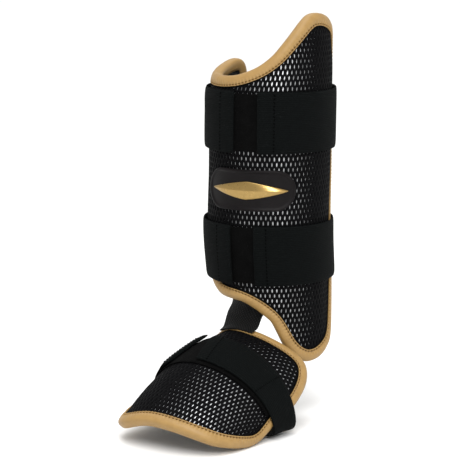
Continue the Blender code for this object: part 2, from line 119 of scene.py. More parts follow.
# turn, along as a share of the length, corner of the pad's grid
SHIN_EDGE = (
    (-93, 0.235, 1), (-78, 0.214, 0), (-62, 0.192, 0), (-49, 0.163, 0), (-38, 0.130, 0),
    (-28, 0.101, 0), (-17, 0.083, 0), (-7, 0.076, 0), (3, 0.073, 0), (14, 0.068, 0), (26, 0.050, 0),
    (35, 0.030, 0), (41.5, 0.012, 0), (47.5, -0.022, 0), (54, -0.060, 0), (60, -0.083, 0),
    (68.5, -0.102, 0), (77, -0.112, 0), (87.5, -0.111, 0), (97, -0.103, 0), (108, -0.087, 0),
    (118, -0.064, 1), (124, -0.020, 0), (127, 0.040, 0), (129, 0.110, 0), (133, 0.190, 0),
    (140, 0.280, 0), (145, 0.400, 0), (147.5, 0.520, 0), (151, 0.620, 0), (154, 0.705, 0),
    (151, 0.782, 0), (139, 0.838, 1), (123, 0.866, 0), (107, 0.884, 0), (93, 0.890, 0),
    (82.5, 0.886, 0), (73, 0.870, 0), (61.5, 0.841, 0), (50, 0.809, 0), (39.5, 0.779, 0),
    (30.5, 0.758, 0), (21, 0.741, 0), (10, 0.728, 0), (-1.5, 0.719, 0), (-20, 0.715, 0),
    (-45, 0.718, 0), (-70, 0.733, 0), (-90, 0.745, 0), (-103, 0.730, 1), (-112, 0.675, 0),
    (-116, 0.580, 0), (-117, 0.466, 0), (-114.5, 0.350, 0), (-107, 0.268, 0),
)
FOOT_EDGE = (
    (-80, 0.000, 1), (-68, -0.085, 0), (-50, -0.142, 0), (-32, -0.150, 0), (-16, -0.121, 0),
    (-3, -0.095, 0), (8, -0.085, 0), (17, -0.092, 0), (26, -0.108, 0), (36, -0.140, 0),
    (45, -0.177, 0), (53, -0.180, 0), (61, -0.145, 0), (69.5, -0.071, 0), (77.5, 0.035, 1),
    (83.5, 0.135, 0), (88, 0.240, 0), (91.5, 0.345, 0), (97, 0.440, 0), (102, 0.545, 0),
    (101.5, 0.650, 1), (94, 0.740, 0), (82, 0.816, 0), (65, 0.872, 0), (40, 0.901, 0),
    (17, 0.908, 0), (-7, 0.908, 0), (-27, 0.920, 0), (-43, 0.915, 0), (-58, 0.877, 0),
    (-72, 0.775, 1), (-81, 0.624, 0), (-85, 0.454, 0), (-87, 0.284, 0), (-85, 0.128, 0),
)
SHIN_GRID = (26, 20)
FOOT_GRID = (18, 14)
# Section of a binding: inward share of its width, lift in mm, from the lip over the bead
BINDING_OUTSIDE = (
    (1.00, 0.75), (0.97, 0.95), (0.93, 0.80), (0.88, 0.35), (0.82, 0.75), (0.72, 1.35), (0.54, 1.65),
    (0.38, 1.60), (0.22, 1.05), (0.10, 0.10), (0.025, -1.30), (0.00, -2.80), (0.00, -4.80),
    (0.05, -6.40), (0.16, -7.40), (0.38, -7.90), (0.70, -7.80), (1.00, -7.60),
)
# name, height share, gap from, gap to, patch from, patch to, turns of its two stitch rows
SHIN_STRAPS = (
    ("upper", 0.588, 8.0, 29.5, 0.0, 37.0, (44.0, -7.0)),
    ("lower", 0.210, 6.5, 27.5, -1.0, 35.0, (38.5, -9.6)),
)


def linear(code):
    """An sRGB hex colour as linear red, green and blue."""
    shares = [int(code[k:k + 2], 16) / 255 for k in (0, 2, 4)]
    return tuple(s / 12.92 if s <= 0.04045 else ((s + 0.055) / 1.055) ** 2.4 for s in shares)


def colour(name, code, says):
    """A colour property."""
    return FloatVectorProperty(
        name=name, description=says, default=linear(code), subtype="COLOR", min=0, max=1
    )


def length(name, millimetres, says):
    """A length property, with its default given in millimetres."""
    return FloatProperty(name=name, description=says, default=millimetres * MM, unit="LENGTH", min=0)


class GuardSizes(bpy.types.PropertyGroup):
    """Sizes of the soft detail."""

    hole_pitch: length("Mesh pitch", 4.0, "Across the mesh, from one hole to the next")
    row_pitch: length("Mesh row pitch", 4.4, "Along the mesh, from one row of holes to the next")
    hole_width: length("Hole width", 1.1, "Width of a mesh hole")
    hole_length: length("Hole length", 3.3, "Length of a mesh hole")
    mesh_depth: length("Mesh depth", 1.0, "From the mesh's crown to the film under it")
    stitch_pitch: length("Stitch pitch", 3.1, "From one binding stitch to the next")
    stitch_thread: length("Binding thread", 0.7, "Thickness of the binding's thread")
    pucker: length("Pucker", 0.55, "How deep the thread draws the binding in")
    strap_thread: length("Strap thread", 1.0, "Thickness of the straps' thread")
    swell: length("Swell", 1.6, "Most that the lining may swell in the cloth simulation")
    swell_frames: IntProperty(
        name="Swell frames", description="Frames of the cloth simulation", default=14, min=2
    )


class GuardColours(bpy.types.PropertyGroup):
    """Colours of the materials."""

    leather: colour("Binding", "9b7b48", "Gold-tan synthetic leather")
    # painted shade: this darker leather colour paints the shade in the binding's stitched seam, and also gives
    # the leather its mottled tone
    leather_seam_shade_and_mottle: colour("Binding seam shade and mottle", "6b4d20", "The same leather darker, for painted seam shade and mottle")
    mesh: colour("Mesh", "060607", "Black polyester mesh")
    film: colour("Film", "d4d6d8", "Satin film under the mesh")
    lining: colour("Lining", "0e0e0f", "Black tricot lining")
    elastic: colour("Elastic", "080a0a", "Black knitted elastic")
    velvet: colour("Velvet", "060606", "Black loop pile")
    webbing: colour("Webbing", "080808", "Black nylon webbing")
    rubber: colour("Rubber", "0c090a", "Black moulded rubber")
    gold: colour("Gold", "a88a50", "Gold-coated plastic")
    thread: colour("Thread", "5f4621", "Gold polyester thread")
    black_thread: colour("Black thread", "010101", "Black polyester thread")
    floor: colour("Floor", "f4f4f3", "Pale studio floor")


def sizes():
    return bpy.context.scene.guard_sizes


def colours():
    return bpy.context.scene.guard_colours


# Forms


def table(rows):
    """The rows' columns, as arrays."""
    return np.array(rows, float).T


def smooth(x, stations, values):
    """Cubic Hermite: each span blends its ends' values and slopes."""
    slope = np.gradient(values, stations)
    k = np.clip(np.searchsorted(stations, x) - 1, 0, len(stations) - 2)
    size = stations[k + 1] - stations[k]
    t = (x - stations[k]) / size
    start, end = values[k], values[k + 1]
    bend = (1 - t) * (slope[k] * size - end + start) - t * (slope[k + 1] * size - end + start)
    return start + t * (end - start) + t * (1 - t) * bend


def leg_face(turn, height):
    """Oval tube: centre + (half width * sin(turn), -half depth * cos(turn), height)."""
    stations, *columns = table(LEG_FORM)
    share = np.clip(height / SHIN_HEIGHT, stations[0], stations[-1])
    wide, deep, mid_x, mid_y = (LEG_RADIUS * smooth(share, stations, c) for c in columns)
    a = np.radians(turn)
    return np.stack([mid_x + wide * np.sin(a), mid_y - deep * np.cos(a), height + 0 * a], -1)


def foot_face(turn, along, sole=None):
    """Arch: a crest line of even curvature in the plane of the foot, and across it a half oval.

    With a sole, the part below the sides is an arc that deep: out / (1 + |out / sole|^2.6)^(1/2.6),
    and there x is multiplied by |sin(turn)|^0.8.
    """
    stations, *columns = table(FOOT_FORM)
    share = np.clip(along / FOOT_LENGTH, stations[0], stations[-1])
    right, left, rise = (FOOT_HALF_WIDTH * smooth(share, stations, c) for c in columns)
    first = math.radians(INSTEP_SLOPE)
    bend = math.radians(TOE_SLOPE - INSTEP_SLOPE) / (FOOT_LENGTH * CREST_SHARE)
    slope = first + bend * along
    ahead = (np.sin(slope) - np.sin(first)) / bend
    down = (np.cos(first) - np.cos(slope)) / bend
    a = np.radians(turn)
    out = rise * np.cos(a)
    x = np.where(np.sin(a) > 0, right, left) * np.sin(a)
    if sole is not None:
        x = np.where(out < 0, x * np.abs(np.sin(a)) ** 0.8, x)
        out = np.where(out < 0, out / (1 + np.abs(out / sole) ** 2.6) ** (1 / 2.6), out)
    out = out - rise
    y = -ahead - out * np.sin(slope)
    toes = math.radians(TOES_OUT)
    return np.stack([
        FOOT_START[0] + x * np.cos(toes) - y * np.sin(toes),
        FOOT_START[1] + x * np.sin(toes) + y * np.cos(toes),
        FOOT_START[2] - down + out * np.cos(slope),
    ], -1)


def band_face(turn, along):
    """The foot strap's way: the foot pad's face, and a flatter arc under the sole."""
    return foot_face(turn, along, SOLE_DEPTH)


def form_on(face, outward):
    """A form: face(turn, along) + lift * the unit cross product of the face's two slopes."""
    def form(turn, along, lift):
        step = 1e-4
        across = face(turn + 100 * step, along) - face(turn - 100 * step, along)
        normal = np.cross(across, face(turn, along + step) - face(turn, along - step)) * outward
        normal /= np.linalg.norm(normal, axis=-1)[..., None]
        return face(turn, along) + normal * np.asarray(lift)[..., None]
    return form


LEG = form_on(leg_face, 1)
FOOT = form_on(foot_face, -1)
BAND = form_on(band_face, -1)
# name, edge table, length, form, grid, samples a grid cell for the binding
PANELS = {
    "shin": (SHIN_EDGE, SHIN_HEIGHT, LEG, SHIN_GRID, 22),
    "foot": (FOOT_EDGE, FOOT_LENGTH, FOOT, FOOT_GRID, 16),
}


def edge_of(rows, length_of, form, grid):
    """A pad's edge: a closed Catmull-Rom line through the table, sampled evenly on each side."""
    turn, share, corner = table(rows)
    steps = 48
    points = np.stack([turn, share * length_of], -1)
    last, here, ahead, then = (np.roll(points, k, 0)[:, None] for k in (1, 0, -1, -2))
    t = np.linspace(0, 1, steps, endpoint=False)[None, :, None]
    line = 2 * here + (ahead - last) * t + (2 * last - 5 * here + 4 * ahead - then) * t**2
    line = (line + (3 * here - last - 3 * ahead + then) * t**3).reshape(-1, 2) / 2
    line = np.vstack([line, line[:1]])
    starts = [*np.flatnonzero(corner) * steps, len(line) - 1]
    places = form(line[:, 0], line[:, 1], 0)
    run = np.concatenate([[0], np.cumsum(np.linalg.norm(np.diff(places, axis=0), axis=1))])
    wanted = np.concatenate([
        np.linspace(run[starts[k]], run[starts[k + 1]], grid[k % 2], endpoint=False) for k in range(4)
    ])
    return np.stack([np.interp(wanted, run, line[:, k]) for k in (0, 1)], -1)


def inset(edge, form, distance):
    """The edge moved by a distance square to itself, in the form's surface."""
    step = 1e-4
    turn, along = edge.T
    place = form(turn, along, 0)
    by_turn = (form(turn + step, along, 0) - place) / step
    by_along = (form(turn, along + step, 0) - place) / step
    ahead = np.roll(place, -1, 0) - np.roll(place, 1, 0)
    ahead /= np.linalg.norm(ahead, axis=1)[:, None]
    normal = np.cross(by_turn, by_along)
    normal /= np.linalg.norm(normal, axis=1)[:, None]
    inward = np.cross(normal, ahead) * distance
    pairs = ((by_turn, by_turn), (by_turn, by_along), (by_along, by_along))
    a, b, c = ((m * n).sum(1) for m, n in pairs)
    p, q = (by_turn * inward).sum(1), (by_along * inward).sum(1)
    whole = a * c - b * b
    return edge + np.stack([(c * p - b * q) / whole, (a * q - b * p) / whole], -1)


def panel_lines(name, fine):
    """A panel's edge, its rim and a rounder line past the binding's lip, fine samples a cell."""
    rows, length_of, form, grid, _ = PANELS[name]
    edge = edge_of(rows, length_of, form, (grid[0] * fine, grid[1] * fine))
    past = inset(edge, form, LIP_LINE)
    for _ in range(fine * fine):
        past = past / 2 + (np.roll(past, 1, 0) + np.roll(past, -1, 0)) / 4
    return edge, inset(edge, form, RIM_LINE), past


def between(lines, far):
    """The line at a distance in from the edge, straight between the three lines."""
    edge, rim, past = lines
    if far < RIM_LINE:
        return edge + (rim - edge) * far / RIM_LINE
    return rim + (past - rim) * (far - RIM_LINE) / (LIP_LINE - RIM_LINE)


def filled(ring, grid):
    """Coons patch: the blend of two pairs of sides less the blend of the four corners."""
    across, up = grid
    low = ring[:across + 1]
    right = ring[across:across + up + 1]
    high = ring[across + up:2 * across + up + 1][::-1]
    left = np.vstack([ring[2 * across + up:], ring[:1]])[::-1]
    s = np.linspace(0, 1, across + 1)[None, :, None]
    t = np.linspace(0, 1, up + 1)[:, None, None]
    sides = (1 - t) * low[None] + t * high[None] + (1 - s) * left[:, None] + s * right[:, None]
    corners = (1 - s) * (1 - t) * low[0] + s * (1 - t) * low[-1] + (1 - s) * t * high[0]
    return sides - corners - s * t * high[-1]


def from_edge(name, turn, along):
    """Distance in from a panel's edge, to the nearest of its samples, in metres."""
    form = PANELS[name][2]
    edge = panel_lines(name, 2)[0]
    rim = form(edge[:, 0], edge[:, 1], 0).astype(np.float32)
    place = form(turn, along, 0).astype(np.float32)
    apart = place.reshape(-1, 1, 3) - rim[None]
    return np.sqrt((apart**2).sum(-1).min(1)).reshape(np.shape(turn))


def sink(far):
    """How far the face lies below the form: PILLOW at the lip, rising as a sine to 0 inside."""
    return -PILLOW * (1 - np.sin(np.pi / 2 * np.clip((far - LIP_LINE) / (20 * MM), 0, 1)))


# Meshes


def carried(points, run, across, close_run=False, close_across=False):
    """A grid of points as points, quads, and the quads' corners on the cloth in metres."""
    rows, columns = points.shape[:2]
    i, j = np.meshgrid(
        np.arange(rows - (not close_run)), np.arange(columns - (not close_across)), indexing="ij"
    )
    ii = i.reshape(-1, 1) + np.array([0, 0, 1, 1])
    jj = j.reshape(-1, 1) + np.array([0, 1, 1, 0])
    quads = ii % rows * columns + jj % columns
    run, across = np.broadcast_to(run, (rows + close_run,)), np.asarray(across)
    return points.reshape(-1, 3), quads, np.stack([run[ii], across[jj]], -1)


def joined(*parts):
    """Several (points, quads, cloth) as one."""
    starts = np.cumsum([0] + [len(part[0]) for part in parts[:-1]])
    return (
        np.vstack([part[0] for part in parts]),
        np.vstack([part[1] + start for part, start in zip(parts, starts)]),
        np.vstack([part[2] for part in parts]),
    )


def put(name, made, material, replaces=(), flip=False, closed=True):
    """A mesh object at the origin from (points, quads, cloth), which rides on the part's one body."""
    points, quads, cloth = made
    if flip:
        quads, cloth = quads[:, ::-1], cloth[:, ::-1]
    mesh = bpy.data.meshes.new(name)
    mesh.from_pydata(points.tolist(), [], quads.tolist())
    layer = mesh.uv_layers.new(name="cloth")
    layer.data.foreach_set("uv", np.ascontiguousarray(cloth, np.float32).ravel())
    mesh.materials.append(material)
    mesh.shade_smooth()
    if closed:
        work = bmesh.new()
        work.from_mesh(mesh)
        bmesh.ops.remove_doubles(work, verts=work.verts, dist=1e-6)
        bmesh.ops.recalc_face_normals(work, faces=work.faces)
        work.to_mesh(mesh)
        work.free()
    mesh.update()
    obj = bpy.data.objects.new(name, mesh)
    bpy.context.scene.collection.objects.link(obj)
    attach(obj, "root")
    if replaces:
        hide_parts(*replaces)
    return obj


def lengths(points, closed=False):
    """Running length along a line of points, with the way back to the first where it closes."""
    line = np.vstack([points, points[:1]]) if closed else points
    return np.concatenate([[0], np.cumsum(np.linalg.norm(np.diff(line, axis=0), axis=1))])


def swollen(obj, held, frames, most):
    """Cloth with pressure and no gravity, then each point's move cut to the most allowed."""
    rest = np.empty(len(obj.data.vertices) * 3, np.float32)
    obj.data.vertices.foreach_get("co", rest)
    rest = rest.reshape(-1, 3)
    group = obj.vertex_groups.new(name="held")
    for level in np.unique(held):
        group.add(np.flatnonzero(held == level).tolist(), float(level), "REPLACE")
    cloth = obj.modifiers.new("swell", "CLOTH")
    cloth.settings.vertex_group_mass = "held"
    cloth.settings.quality = 5
    cloth.settings.use_pressure = True
    cloth.settings.uniform_pressure_force = 4
    cloth.settings.effector_weights.gravity = 0
    scene = bpy.context.scene
    for number in range(1, frames + 1):
        scene.frame_set(number)
    graph = bpy.context.evaluated_depsgraph_get()
    moved = np.empty(rest.size, np.float32)
    obj.evaluated_get(graph).data.vertices.foreach_get("co", moved)
    obj.modifiers.remove(cloth)
    obj.vertex_groups.clear()
    scene.frame_set(1)
    move = moved.reshape(-1, 3) - rest
    far = np.maximum(np.linalg.norm(move, axis=1), 1e-9)[:, None]
    move *= most * np.tanh(far / most) / far
    obj.data.vertices.foreach_set("co", (rest + move).ravel())
    obj.data.update()
    return obj


def tubes(start, end, normal, thread, sunk=0.3, arch=0.5):
    """Stitches: tubes from start to end, bowed out by a sine arch and thinner at their ends."""
    t = np.linspace(0, 1, 6)[None, :, None, None]
    a = np.linspace(0, 2 * np.pi, 6, endpoint=False)[None, None, :, None]
    start, end, normal = (np.asarray(v)[:, None, None, :] for v in (start, end, normal))
    side = np.cross(end - start, normal)
    side /= np.linalg.norm(side, axis=-1)[..., None]
    swell = np.sin(np.pi * t)
    radius = thread / 2 * (0.25 + 0.75 * np.sqrt(np.clip(swell, 0, 1)))
    centre = start + (end - start) * t + normal * thread * (arch * swell - sunk)
    points = centre + radius * (side * np.cos(a) + normal * np.sin(a))
    count = len(points)
    rows = np.arange(5)[:, None] * 6 + np.arange(6)[None]
    beside = np.arange(5)[:, None] * 6 + (np.arange(6)[None] + 1) % 6
    quads = np.stack([rows, beside, beside + 6, rows + 6], -1).reshape(-1, 4)
    caps = np.array([[0, 1, 2, 3], [0, 3, 4, 5], [33, 32, 31, 30], [35, 34, 33, 30]])
    quads = np.vstack([quads, caps])[None] + np.arange(count)[:, None, None] * 36
    quads = quads.reshape(-1, 4)
    return points.reshape(-1, 3), quads, np.zeros((len(quads), 4, 2))


# Materials


def node(tree, kind, inputs=(), **settings):
    """Adds a node, makes its settings, and sets each input or links it to a socket."""
    made = tree.nodes.new("ShaderNode" + kind)
    for key, value in settings.items():
        setattr(made, key, value)
    for key, value in dict(inputs).items():
        if isinstance(value, bpy.types.NodeSocket):
            tree.links.new(value, made.inputs[key])
        else:
            made.inputs[key].default_value = value
    return made


def finish(name, **shader):
    """A new material, its node tree and its Principled shader with plain numbers set."""
    made = bpy.data.materials.new(name)
    made.use_nodes = True
    tree = made.node_tree
    principled = tree.nodes["Principled BSDF"]
    for key, value in shader.items():
        principled.inputs[key.replace("_", " ")].default_value = value
    return made, tree, principled


def period(size):
    """Scale of a wave texture whose bands repeat at this size: its bands are pi / 10 apart."""
    return math.pi / 10 / size


def spacer_mesh():
    """Polyester spacer mesh, warp knitted: black, dull, each strand a bundle of fine loops."""
    made, tree, shader = finish(
        "polyester_spacer_mesh", Roughness=0.65, Specular_IOR_Level=0.04, Sheen_Weight=0.003,
        Sheen_Roughness=0.4,
    )
    place = node(tree, "UVMap", uv_map="cloth").outputs[0]
    # knitted loops, 0.7 mm apart along the strand and 0.55 mm across it
    up = node(tree, "TexWave", {"Vector": place, "Scale": period(0.7 * MM), "Distortion": 0.6},
              bands_direction="Y").outputs["Fac"]
    over = node(tree, "TexWave", {"Vector": place, "Scale": period(0.55 * MM), "Distortion": 0.6},
                bands_direction="X").outputs["Fac"]
    loops = node(tree, "Math", {0: up, 1: over}, operation="MULTIPLY").outputs[0]
    tint = node(tree, "Mix", {"Factor": loops, "A": (*colours().mesh, 1),
                              "B": (*(c * 2.2 for c in colours().mesh), 1)}, data_type="RGBA")
    tree.links.new(tint.outputs["Result"], shader.inputs["Base Color"])
    bump = node(tree, "Bump", {"Height": loops, "Distance": 0.12 * MM, "Strength": 0.7})
    tree.links.new(bump.outputs[0], shader.inputs["Normal"])
    return made


def film():
    """Polyurethane film, calendered: satin grey with a pearly lustre, wrinkled finely by the foam."""
    made, tree, shader = finish(
        "polyurethane_film", Metallic=0.55, Roughness=0.42, Specular_IOR_Level=0.5,
    )
    place = node(tree, "TexCoord").outputs["Object"]
    # wrinkles about 5 mm apart, and a patchy tone about 9 mm across
    wrinkle = node(tree, "TexNoise", {"Vector": place, "Scale": 1 / (5 * MM), "Detail": 2.0})
    patch = node(tree, "TexNoise", {"Vector": place, "Scale": 1 / (9 * MM), "Detail": 1.0})
    tone = node(tree, "MapRange", {"Value": patch.outputs["Fac"], "From Min": 0.35, "From Max": 0.65,
                                   "To Min": 0.0, "To Max": 1.0}).outputs[0]
    tint = node(tree, "Mix", {"Factor": tone, "A": (*(c * 0.45 for c in colours().film), 1),
                              "B": (*colours().film, 1)}, data_type="RGBA")
    tree.links.new(tint.outputs["Result"], shader.inputs["Base Color"])
    bump = node(tree, "Bump", {"Height": wrinkle.outputs["Fac"], "Distance": 0.5 * MM, "Strength": 0.5})
    tree.links.new(bump.outputs[0], shader.inputs["Normal"])
    return made


def lining():
    """Nylon tricot, warp knitted and brushed: soft black, wales 1.2 mm apart."""
    made, tree, shader = finish(
        "nylon_tricot_lining", Roughness=0.85, Specular_IOR_Level=0.15, Sheen_Weight=0.15,
        Sheen_Roughness=0.5,
    )
    place = node(tree, "UVMap", uv_map="cloth").outputs[0]
    wales = node(tree, "TexWave", {"Vector": place, "Scale": period(1.2 * MM), "Distortion": 0.8,
                                   "Detail": 2.0}, bands_direction="X").outputs["Fac"]
    courses = node(tree, "TexWave", {"Vector": place, "Scale": period(0.9 * MM), "Distortion": 0.8},
                   bands_direction="Y").outputs["Fac"]
    knit = node(tree, "Math", {0: wales, 1: courses}, operation="MULTIPLY").outputs[0]
    tint = node(tree, "Mix", {"Factor": knit, "A": (*(c * 0.6 for c in colours().lining), 1),
                              "B": (*(c * 1.6 for c in colours().lining), 1)}, data_type="RGBA")
    tree.links.new(tint.outputs["Result"], shader.inputs["Base Color"])
    bump = node(tree, "Bump", {"Height": knit, "Distance": 0.15 * MM, "Strength": 0.6})
    tree.links.new(bump.outputs[0], shader.inputs["Normal"])
    return made


def leather():
    """Polyurethane synthetic leather, embossed: gold-tan, a fine pebble grain, with painted shade along its
    stitched seam.
    """
    made, tree, shader = finish(
        "polyurethane_synthetic_leather", Roughness=0.5, Specular_IOR_Level=0.35, Coat_Weight=0.08,
        Coat_Roughness=0.35,
    )
    cloth = node(tree, "UVMap", uv_map="cloth").outputs[0]
    place = node(tree, "TexCoord").outputs["Object"]
    # pebbles 0.55 mm across, and a mottled tone of 6 mm
    pebble = node(tree, "TexVoronoi", {"Vector": place, "Scale": 1 / (0.55 * MM)},
                  feature="SMOOTH_F1").outputs["Distance"]
    mottle = node(tree, "TexNoise", {"Vector": place, "Scale": 1 / (6 * MM), "Detail": 4.0})
    crease = node(tree, "TexNoise", {"Vector": place, "Scale": 1 / (14 * MM), "Detail": 2.0,
                                     "Distortion": 1.2})
    # the cloth's second coordinate runs from the lip over the bead, and the seam lies at 0.0014
    seam = node(tree, "SeparateXYZ", {0: cloth}).outputs[1]
    off = node(tree, "Math", {0: seam, 1: 0.0015}, operation="SUBTRACT").outputs[0]
    away = node(tree, "Math", {0: off}, operation="ABSOLUTE").outputs[0]
    # painted shade: within 1.1 mm of the stitched seam the leather is darkened, standing in for the shade in
    # that dip
    seam_shade = node(tree, "MapRange", {"Value": away, "From Min": 0.2 * MM, "From Max": 1.1 * MM,
                                   "To Min": 0.75, "To Max": 0.0}).outputs[0]
    soiled = node(tree, "MapRange", {"Value": mottle.outputs["Fac"], "From Min": 0.4, "From Max": 0.75,
                                     "To Min": 0.0, "To Max": 0.22}).outputs[0]
    # the darker colour is laid on by the painted seam shade or by the random mottle, whichever is stronger
    seam_shade_and_mottle = node(tree, "Math", {0: seam_shade, 1: soiled}, operation="MAXIMUM").outputs[0]
    tint = node(tree, "Mix", {"Factor": seam_shade_and_mottle, "A": (*colours().leather, 1),
                              "B": (*colours().leather_seam_shade_and_mottle, 1)}, data_type="RGBA")
    tree.links.new(tint.outputs["Result"], shader.inputs["Base Color"])
    coarse = node(tree, "Bump", {"Height": crease.outputs["Fac"], "Distance": 0.6 * MM, "Strength": 0.4})
    bump = node(tree, "Bump", {"Height": pebble, "Distance": 0.06 * MM, "Strength": 0.6,
                               "Normal": coarse.outputs[0]})
    tree.links.new(bump.outputs[0], shader.inputs["Normal"])
    return made


def elastic():
    """Polyester and rubber elastic, knitted: dull black, ribs along the band and fine picks across."""
    made, tree, shader = finish(
        "knitted_elastic", Roughness=0.85, Specular_IOR_Level=0.04, Sheen_Weight=0.005,
        Sheen_Roughness=0.35,
    )
    place = node(tree, "UVMap", uv_map="cloth").outputs[0]
    # ribs 1.5 mm apart, picks 0.9 mm apart, drawn as coarse as they need to show
    ribs = node(tree, "TexWave", {"Vector": place, "Scale": period(1.5 * MM), "Distortion": 0.5,
                                  "Detail": 1.0}, bands_direction="Y").outputs["Fac"]
    picks = node(tree, "TexWave", {"Vector": place, "Scale": period(0.9 * MM), "Distortion": 1.0,
                                   "Detail": 1.0}, bands_direction="X").outputs["Fac"]
    knit = node(tree, "Math", {0: ribs, 1: picks}, operation="ADD").outputs[0]
    fuzz = node(tree, "TexNoise", {"Vector": place, "Scale": 1 / (1.6 * MM), "Detail": 3.0})
    mixed = node(tree, "Math", {0: knit, 1: fuzz.outputs["Fac"]}, operation="MULTIPLY").outputs[0]
    tint = node(tree, "Mix", {"Factor": mixed, "A": (*(c * 0.5 for c in colours().elastic), 1),
                              "B": (*(c * 1.9 for c in colours().elastic), 1)}, data_type="RGBA")
    tree.links.new(tint.outputs["Result"], shader.inputs["Base Color"])
    bump = node(tree, "Bump", {"Height": knit, "Distance": 0.25 * MM, "Strength": 0.8})
    tree.links.new(bump.outputs[0], shader.inputs["Normal"])
    return made


def velvet():
    """Nylon loop pile, napped: the deepest black here, with a faint nap."""
    made, tree, shader = finish(
        "nylon_loop_velvet", Roughness=1.0, Specular_IOR_Level=0.02, Sheen_Weight=0.01,
        Sheen_Roughness=0.6,
    )
    place = node(tree, "TexCoord").outputs["Object"]
    # pile loops 0.8 mm apart
    pile = node(tree, "TexVoronoi", {"Vector": place, "Scale": 1 / (0.8 * MM)}).outputs["Distance"]
    nap = node(tree, "TexNoise", {"Vector": place, "Scale": 1 / (7 * MM), "Detail": 2.0})
    tint = node(tree, "Mix", {"Factor": nap.outputs["Fac"], "A": (*(c * 0.5 for c in colours().velvet), 1),
                              "B": (*(c * 1.7 for c in colours().velvet), 1)}, data_type="RGBA")
    tree.links.new(tint.outputs["Result"], shader.inputs["Base Color"])
    bump = node(tree, "Bump", {"Height": pile, "Distance": 0.3 * MM, "Strength": 0.8}, invert=True)
    tree.links.new(bump.outputs[0], shader.inputs["Normal"])
    return made


def nylon_webbing():
    """Nylon webbing, woven: black with a slight lustre, a diamond of yarns 2.2 mm across."""
    made, tree, shader = finish(
        "woven_nylon_webbing", Roughness=0.65, Specular_IOR_Level=0.1, Sheen_Weight=0.01,
        Sheen_Roughness=0.4,
    )
    place = node(tree, "UVMap", uv_map="cloth").outputs[0]
    turned = node(tree, "Mapping", {"Vector": place, "Rotation": (0, 0, math.radians(45))}).outputs[0]
    one = node(tree, "TexWave", {"Vector": turned, "Scale": period(2.0 * MM)},
               bands_direction="X").outputs["Fac"]
    other = node(tree, "TexWave", {"Vector": turned, "Scale": period(2.0 * MM)},
                 bands_direction="Y").outputs["Fac"]
    weave = node(tree, "Math", {0: one, 1: other}, operation="MULTIPLY").outputs[0]
    tint = node(tree, "Mix", {"Factor": weave, "A": (*(c * 0.4 for c in colours().webbing), 1),
                              "B": (*(c * 7 for c in colours().webbing), 1)}, data_type="RGBA")
    tree.links.new(tint.outputs["Result"], shader.inputs["Base Color"])
    bump = node(tree, "Bump", {"Height": weave, "Distance": 0.35 * MM, "Strength": 0.8})
    tree.links.new(bump.outputs[0], shader.inputs["Normal"])
    return made


def rubber():
    """PVC rubber, moulded: warm matt black with a fine spark-eroded texture."""
    made, tree, shader = finish("moulded_rubber", Roughness=0.5, Specular_IOR_Level=0.12)
    place = node(tree, "TexCoord").outputs["Object"]
    # spark-eroded grit of 0.4 mm, and dust that dulls patches 12 mm across
    grit = node(tree, "TexNoise", {"Vector": place, "Scale": 1 / (0.4 * MM), "Detail": 2.0})
    dust = node(tree, "TexNoise", {"Vector": place, "Scale": 1 / (12 * MM), "Detail": 3.0})
    tint = node(tree, "Mix", {"Factor": dust.outputs["Fac"], "A": (*(c * 0.7 for c in colours().rubber), 1),
                              "B": (*(c * 1.4 for c in colours().rubber), 1)}, data_type="RGBA")
    tree.links.new(tint.outputs["Result"], shader.inputs["Base Color"])
    bump = node(tree, "Bump", {"Height": grit.outputs["Fac"], "Distance": 0.05 * MM, "Strength": 0.5})
    tree.links.new(bump.outputs[0], shader.inputs["Normal"])
    return made


def gold_plastic():
    """ABS, vacuum metallised and lacquered: satin gold, rubbed a little duller in patches."""
    made, tree, shader = finish("metallised_abs", Metallic=0.9, Roughness=0.28, Coat_Weight=0.3,
                                Coat_Roughness=0.15)
    place = node(tree, "TexCoord").outputs["Object"]
    # handling marks about 3 mm long
    marks = node(tree, "TexNoise", {"Vector": place, "Scale": 1 / (3 * MM), "Detail": 4.0})
    dull = node(tree, "MapRange", {"Value": marks.outputs["Fac"], "To Min": 0.2, "To Max": 0.4}).outputs[0]
    tree.links.new(dull, shader.inputs["Roughness"])
    tint = node(tree, "Mix", {"Factor": marks.outputs["Fac"], "A": (*colours().gold, 1),
                              "B": (*(c * 0.8 for c in colours().gold), 1)}, data_type="RGBA")
    tree.links.new(tint.outputs["Result"], shader.inputs["Base Color"])
    return made


def thread(name, tone):
    """Polyester sewing thread, twisted: a slight lustre, twist 0.6 mm apart."""
    made, tree, shader = finish(name, Roughness=0.9, Specular_IOR_Level=0.02)
    place = node(tree, "TexCoord").outputs["Object"]
    twist = node(tree, "TexNoise", {"Vector": place, "Scale": 1 / (0.6 * MM), "Detail": 1.0})
    tint = node(tree, "Mix", {"Factor": twist.outputs["Fac"], "A": (*(c * 0.7 for c in tone), 1),
                              "B": (*(c * 1.2 for c in tone), 1)}, data_type="RGBA")
    tree.links.new(tint.outputs["Result"], shader.inputs["Base Color"])
    bump = node(tree, "Bump", {"Height": twist.outputs["Fac"], "Distance": 0.1 * MM, "Strength": 0.5})
    tree.links.new(bump.outputs[0], shader.inputs["Normal"])
    return made


def floor_paint():
    """Matt emulsion on a studio floor: pale, even, with no gloss."""
    made, tree, shader = finish("matt_emulsion", Roughness=0.95, Specular_IOR_Level=0.1)
    place = node(tree, "TexCoord").outputs["Object"]
    roller = node(tree, "TexNoise", {"Vector": place, "Scale": 3.0, "Detail": 2.0})
    tint = node(tree, "Mix", {"Factor": roller.outputs["Fac"], "A": (*colours().floor, 1),
                              "B": (*(c * 0.985 for c in colours().floor), 1)}, data_type="RGBA")
    tree.links.new(tint.outputs["Result"], shader.inputs["Base Color"])
    return made


def stuff(maker, *args):
    """A material made once and then used again."""
    key = args[0] if args else maker.__name__
    held = bpy.app.driver_namespace.setdefault("guard_materials", {})
    if key not in held:
        held[key] = maker(*args)
    return held[key]


# Pieces


